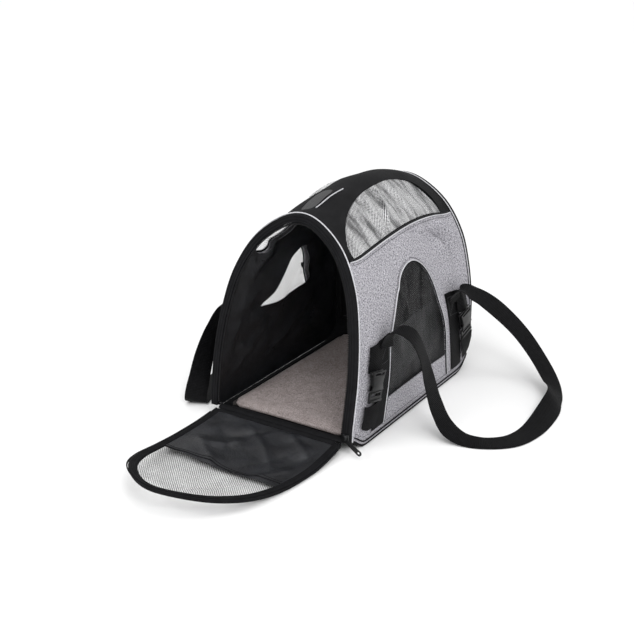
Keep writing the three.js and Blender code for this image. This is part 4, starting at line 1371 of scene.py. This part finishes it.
def plate(name, outline, low, high, place, bevel, holes=()):
    """A bevelled plastic plate from low to high, its outline in [across, up]; place puts it on the bag."""
    curve = bpy.data.curves.new(name, "CURVE")
    curve.dimensions = "2D"
    curve.fill_mode = "BOTH"
    curve.extrude = (high - low) / 2 * MM - bevel * MM
    curve.bevel_depth = bevel * MM
    curve.bevel_resolution = 2
    curve.offset = -bevel * MM
    for loop in (outline, *holes):
        strand = curve.splines.new("POLY")
        strand.points.add(len(loop) - 1)
        for point, (x, y) in zip(strand.points, loop):
            point.co = (x * MM, y * MM, 0, 1)
        strand.use_cyclic_u = True
    shape = bpy.data.objects.new(name, curve)
    bpy.context.scene.collection.objects.link(shape)
    bpy.context.view_layer.update()
    mesh = bpy.data.meshes.new_from_object(shape.evaluated_get(bpy.context.evaluated_depsgraph_get()))
    bpy.data.objects.remove(shape)
    flat = np.array([v.co for v in mesh.vertices]) / MM
    flat[:, 2] += (low + high) / 2
    faces = [list(p.vertices) for p in mesh.polygons]
    bpy.data.meshes.remove(mesh)
    work = bmesh.new()
    verts = [work.verts.new(tuple(place(p))) for p in flat]
    for f in faces:
        if len(set(f)) > 2:
            work.faces.new([verts[i] for i in f])
    bmesh.ops.remove_doubles(work, verts=work.verts, dist=1e-6)
    bmesh.ops.recalc_face_normals(work, faces=work.faces)
    out = bpy.data.meshes.new(name)
    work.to_mesh(out)
    work.free()
    out.shade_smooth()
    out.set_sharp_from_angle(angle=math.radians(35))
    return link_piece(name, out, "plastic")


def clip_place(side, end, clip_y):
    """Puts clip points, [across, up, outwards] in millimetres, where the CAD clip stands."""
    sign = 1 if side == "right" else -1
    spot = wall(on_side(side, u_at_height(CLIP_Z)), clip_y(CLIP_Z), STRAP_OFFSET, soft=False)
    tilt = math.atan(CLIP_TILT if end == "front" else -CLIP_TILT)
    up = np.array([0, math.sin(tilt), math.cos(tilt)])
    across = np.array([0, math.cos(tilt), -math.sin(tilt)])
    out = np.array([sign, 0, 0])

    def place(p):
        return spot + MM * (across * p[0] + up * p[1] + out * p[2])
    return place


# Each end's anchor strap, its y at the foot and top, and its clip strap, its y at CLIP_TOP_Z and slope.
ANCHOR_FOOT_Z = 9
CLIP_TOP_Z = 166
CORNERS = {"front": (66, 92, 67, CLIP_TILT), "rear": (356, 331, 356, -CLIP_TILT)}


def bar(half, low, high):
    """The outline of a plain bar across a clip."""
    return [(-half, low), (half, low), (half, high), (-half, high)]


def add_clips():
    for side in SIDES:
        for end, (bottom, top, clip_top, tilt) in CORNERS.items():
            name = f"{side}_{end}"
            anchor_y = slanted(bottom, ANCHOR_FOOT_Z, (top - bottom) / (ANCHOR_TOP - ANCHOR_FOOT_Z))
            clip_y = slanted(clip_top, CLIP_TOP_Z, tilt)
            strap_on_wall(f"{name}_anchor_web", side, 16, ANCHOR_TOP, anchor_y, WEBBING, 0.5, 2.2, "bag",
                          [f"{name}_anchor"])
            strap_on_wall(f"{name}_clip_web", side, CLIP_Z + 29, 158, clip_y, CLIP_WEBBING, STRAP_OFFSET,
                          STRAP_OFFSET + WEBBING_THICK, "bag", [f"{name}_clip_strap"], 0.8)
            strap_on_wall(f"{name}_tail_web", side, 26, CLIP_Z - 24, clip_y, CLIP_WEBBING,
                          STRAP_OFFSET + WEBBING_THICK, STRAP_OFFSET + 2 * WEBBING_THICK, f"{name}_clip",
                          [f"{name}_clip_tail"], 1.2)
            box_stitch(f"{name}_anchor_thread", side, anchor_y, 118, 150, 14)
            place = clip_place(side, end, clip_y)
            slot_hole = [(-14, 25), (14, 25), (15, 28.4), (-15, 28.4)]
            back = plate(f"{name}_clip_body", FEMALE, 0.2, 2.0, place, 0.5, [slot_hole])
            put(back, "bag", f"{name}_clip_female")
            front = plate(f"{name}_clip_face", FEMALE, 5.4, 7.6, place, 0.8, [slot_hole])
            put(front, "bag")
            for s, edge in ((-1, "a"), (1, "b")):
                cheek = [(15.6, 9), (14.6, 10.5), (12.6, 20), (15, 22), (17.6, 22), (15, 11)]
                cheek = [(s * x, y) for x, y in cheek]
                put(plate(f"{name}_clip_cheek_{edge}", cheek, 1.6, 5.8, place, 0.3), "bag")
            bridge = [(-17, 21.5), (17, 21.5), (16.6, 23.6), (-16.6, 23.6)]
            put(plate(f"{name}_clip_bridge", bridge, 1.6, 5.8, place, 0.3), "bag")
            male = plate(f"{name}_clip_fork", MALE, 2.4, 5.2, place, 0.6, [bar(15, -9, -5)])
            put(male, f"{name}_clip", f"{name}_clip_male")
            rib = bar(18, -3.4, -1.6)
            put(plate(f"{name}_clip_rib", rib, 4.6, 6.6, place, 0.5), f"{name}_clip")
            foot = bar(18.6, -18, -14.4)
            put(plate(f"{name}_clip_foot", foot, 4.6, 6.8, place, 0.7), f"{name}_clip")


def box_stitch(name, side, centre, z0, z1, half):
    """A sewn box with a cross, as on load-bearing webbing."""
    corners = [(-half, z0), (half, z0), (half, z1), (-half, z1), (-half, z0), (half, z1)]
    line = np.array(corners, float)
    share, _ = by_length(line)

    def path(t):
        w = np.interp(t, share, line[:, 0])
        z = np.interp(t, share, line[:, 1])
        return on_side(side, u_at_height(z)), centre(z) + w
    stitches(name, path, "thread", 3.2, 2.2, 0.34, 2.35)


# The handles' routes in millimetres from the sewn front end, each with the direction of the width.
RIGHT_STOPS = [
    (150, 93, 174, 0, 1, 0), (163, 97, 180, -0.1, 1, 0), (182, 103, 172, -0.2, 0.95, 0.1),
    (196, 110, 142, -0.3, 0.9, 0.2), (207, 115, 100, -0.1, 0.95, 0.25), (220, 118, 56, -0.08, 0.93, 0.35),
    (240, 121, 20, -0.1, 0.93, 0.3), (266, 127, 4.2, -0.3, 0.92, 0.1), (298, 138, FLOOR_Z, -0.62, 0.78, 0),
    (330, 166, FLOOR_Z, -0.86, 0.5, 0), (344, 212, FLOOR_Z, -0.99, 0.1, 0),
    (346, 270, FLOOR_Z + 4.2, -0.97, 0, 0.24), (342, 326, FLOOR_Z + 15, -0.6, -0.1, 0.79),
    (324, 366, FLOOR_Z + 19, -0.75, -0.37, 0.5),
    (290, 392, 48, -0.3, -0.95, 0), (248, 394, 94, -0.3, -0.95, -0.05), (206, 378, 136, -0.3, -0.93, -0.1),
    (176, 356, 162, -0.15, -0.98, 0), (156, 337, 173, 0, -1, 0),
]
LEFT_STOPS = [
    (-152, 88, 171, 0, 1, 0), (-163, 74, 160, 0, 1, 0), (-170, 54, 132, 0.1, 0.97, 0.1),
    (-174, 32, 92, 0.3, 0.92, 0.1), (-175, 14, 50, 0.5, 0.85, 0.05), (-176, 3, 18, 0.75, 0.65, 0),
    (-180, 10, 4.5, 0.93, 0.35, 0), (-194, 50, FLOOR_Z, 0.97, 0.22, 0), (-212, 112, FLOOR_Z, 0.98, 0.2, 0),
    (-228, 190, FLOOR_Z, 1, 0, 0), (-232, 250, FLOOR_Z, 1, 0, 0), (-230, 306, FLOOR_Z + 0.6, 0.99, -0.1, 0),
    (-216, 352, 16, 0.9, -0.4, -0.1), (-197, 378, 52, 0.7, -0.68, -0.2), (-179, 381, 100, 0.45, -0.85, -0.2),
    (-168, 362, 146, 0.15, -0.97, -0.1), (-158, 338, 170, 0, -1, 0),
]


def add_handle(side, stops):
    """Carry webbing: its middle line and the direction of its width, as in the part's source."""
    def sewn(z, y, offset):
        p = wall(on_side(side, u_at_height(z)), y, offset, soft=False) / MM
        return [p[0], p[1] + MOUTH_TO_ORIGIN, p[2]]
    middle = [sewn(142, 90, 6.4), sewn(152, 92, 6.6), *[s[:3] for s in stops], sewn(152, 332, 7.4),
              sewn(142, 334, 6.6)]
    widths = [(0, 1, 0), (0, 1, 0), *[s[3:] for s in stops], (0, -1, 0), (0, -1, 0)]
    line = spline(middle, 12)
    wide = np.stack([np.interp(np.arange(len(line)) / 12, np.arange(len(widths)), np.array(widths)[:, k])
                     for k in range(3)], -1)
    for _ in range(6):
        wide[1:-1] = (wide[:-2] + 2 * wide[1:-1] + wide[2:]) / 4
    along = unit(np.gradient(line, axis=0))
    wide = unit(wide - (wide * along).sum(1, keepdims=True) * along)
    thick = np.cross(along, wide)
    thick *= np.sign(thick[:, 2].sum() or 1)
    across = np.linspace(-0.5, 0.5, 9)
    share, length = by_length(line)
    edge = 0.35 * (np.abs(across) * 2) ** 8
    body = []
    for sign in (1, -1):
        lift = sign * (WEBBING_THICK / 2 - edge[:, None]) + np.zeros(len(line))
        body.append(line[:, None] + wide[:, None] * (WEBBING * across)[None, :, None]
                    + thick[:, None] * lift.T[..., None])
    points = np.vstack([b.reshape(-1, 3) for b in body])
    points[:, 1] -= MOUTH_TO_ORIGIN
    flat = np.vstack([flat_uv(WEBBING * across[None], share[:, None] * length)] * 2)
    points[:, 2] = np.maximum(points[:, 2], 0.2)
    made = finish_piece(f"{side}_carry_webbing", points * MM, sheet_faces(len(line), len(across)), "webbing",
                        flat, 50)
    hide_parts(f"{side}_handle")
    sign = 1 if side == "right" else -1
    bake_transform(made)
    route = line.copy()
    route[:, 1] -= MOUTH_TO_ORIGIN
    route = route * MM
    tuple(float(c) for c in route[0])


# ---------- zip sliders and pull tabs ----------


def paint_node(name, paint, bevel):
    """A copy of a CAD node with rounded edges and its own finish."""
    node = frame["nodes"][name]
    mesh = node.data.copy()
    mesh.materials.clear()
    made = link_piece(name + "_finish", mesh, paint)
    work = bmesh.new()
    work.from_mesh(mesh)
    bmesh.ops.remove_doubles(work, verts=work.verts, dist=1e-6)
    bmesh.ops.dissolve_limit(work, angle_limit=math.radians(2), verts=work.verts, edges=work.edges)
    bmesh.ops.recalc_face_normals(work, faces=work.faces)
    work.to_mesh(mesh)
    work.free()
    rounding = made.modifiers.new("bevel", "BEVEL")
    rounding.width = bevel
    rounding.segments = 2
    rounding.limit_method = "ANGLE"
    mesh.shade_smooth()
    mesh.set_sharp_from_angle(angle=math.radians(45))
    put(made, node["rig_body"], name)


def add_zip_hardware():
    for end in ("front", "rear"):
        paint_node(f"{end}_zip_slider", "zip", 0.0005)
        paint_node(f"{end}_pull_tab", "plastic", 0.0004)


add_camera()
add_handle("right", RIGHT_STOPS)
add_handle("left", LEFT_STOPS)
add_studio()
add_walls()
add_rims()
add_piping()
add_base()
add_pad()
add_front_door()
add_rear_door()
add_clips()
add_zip_hardware()
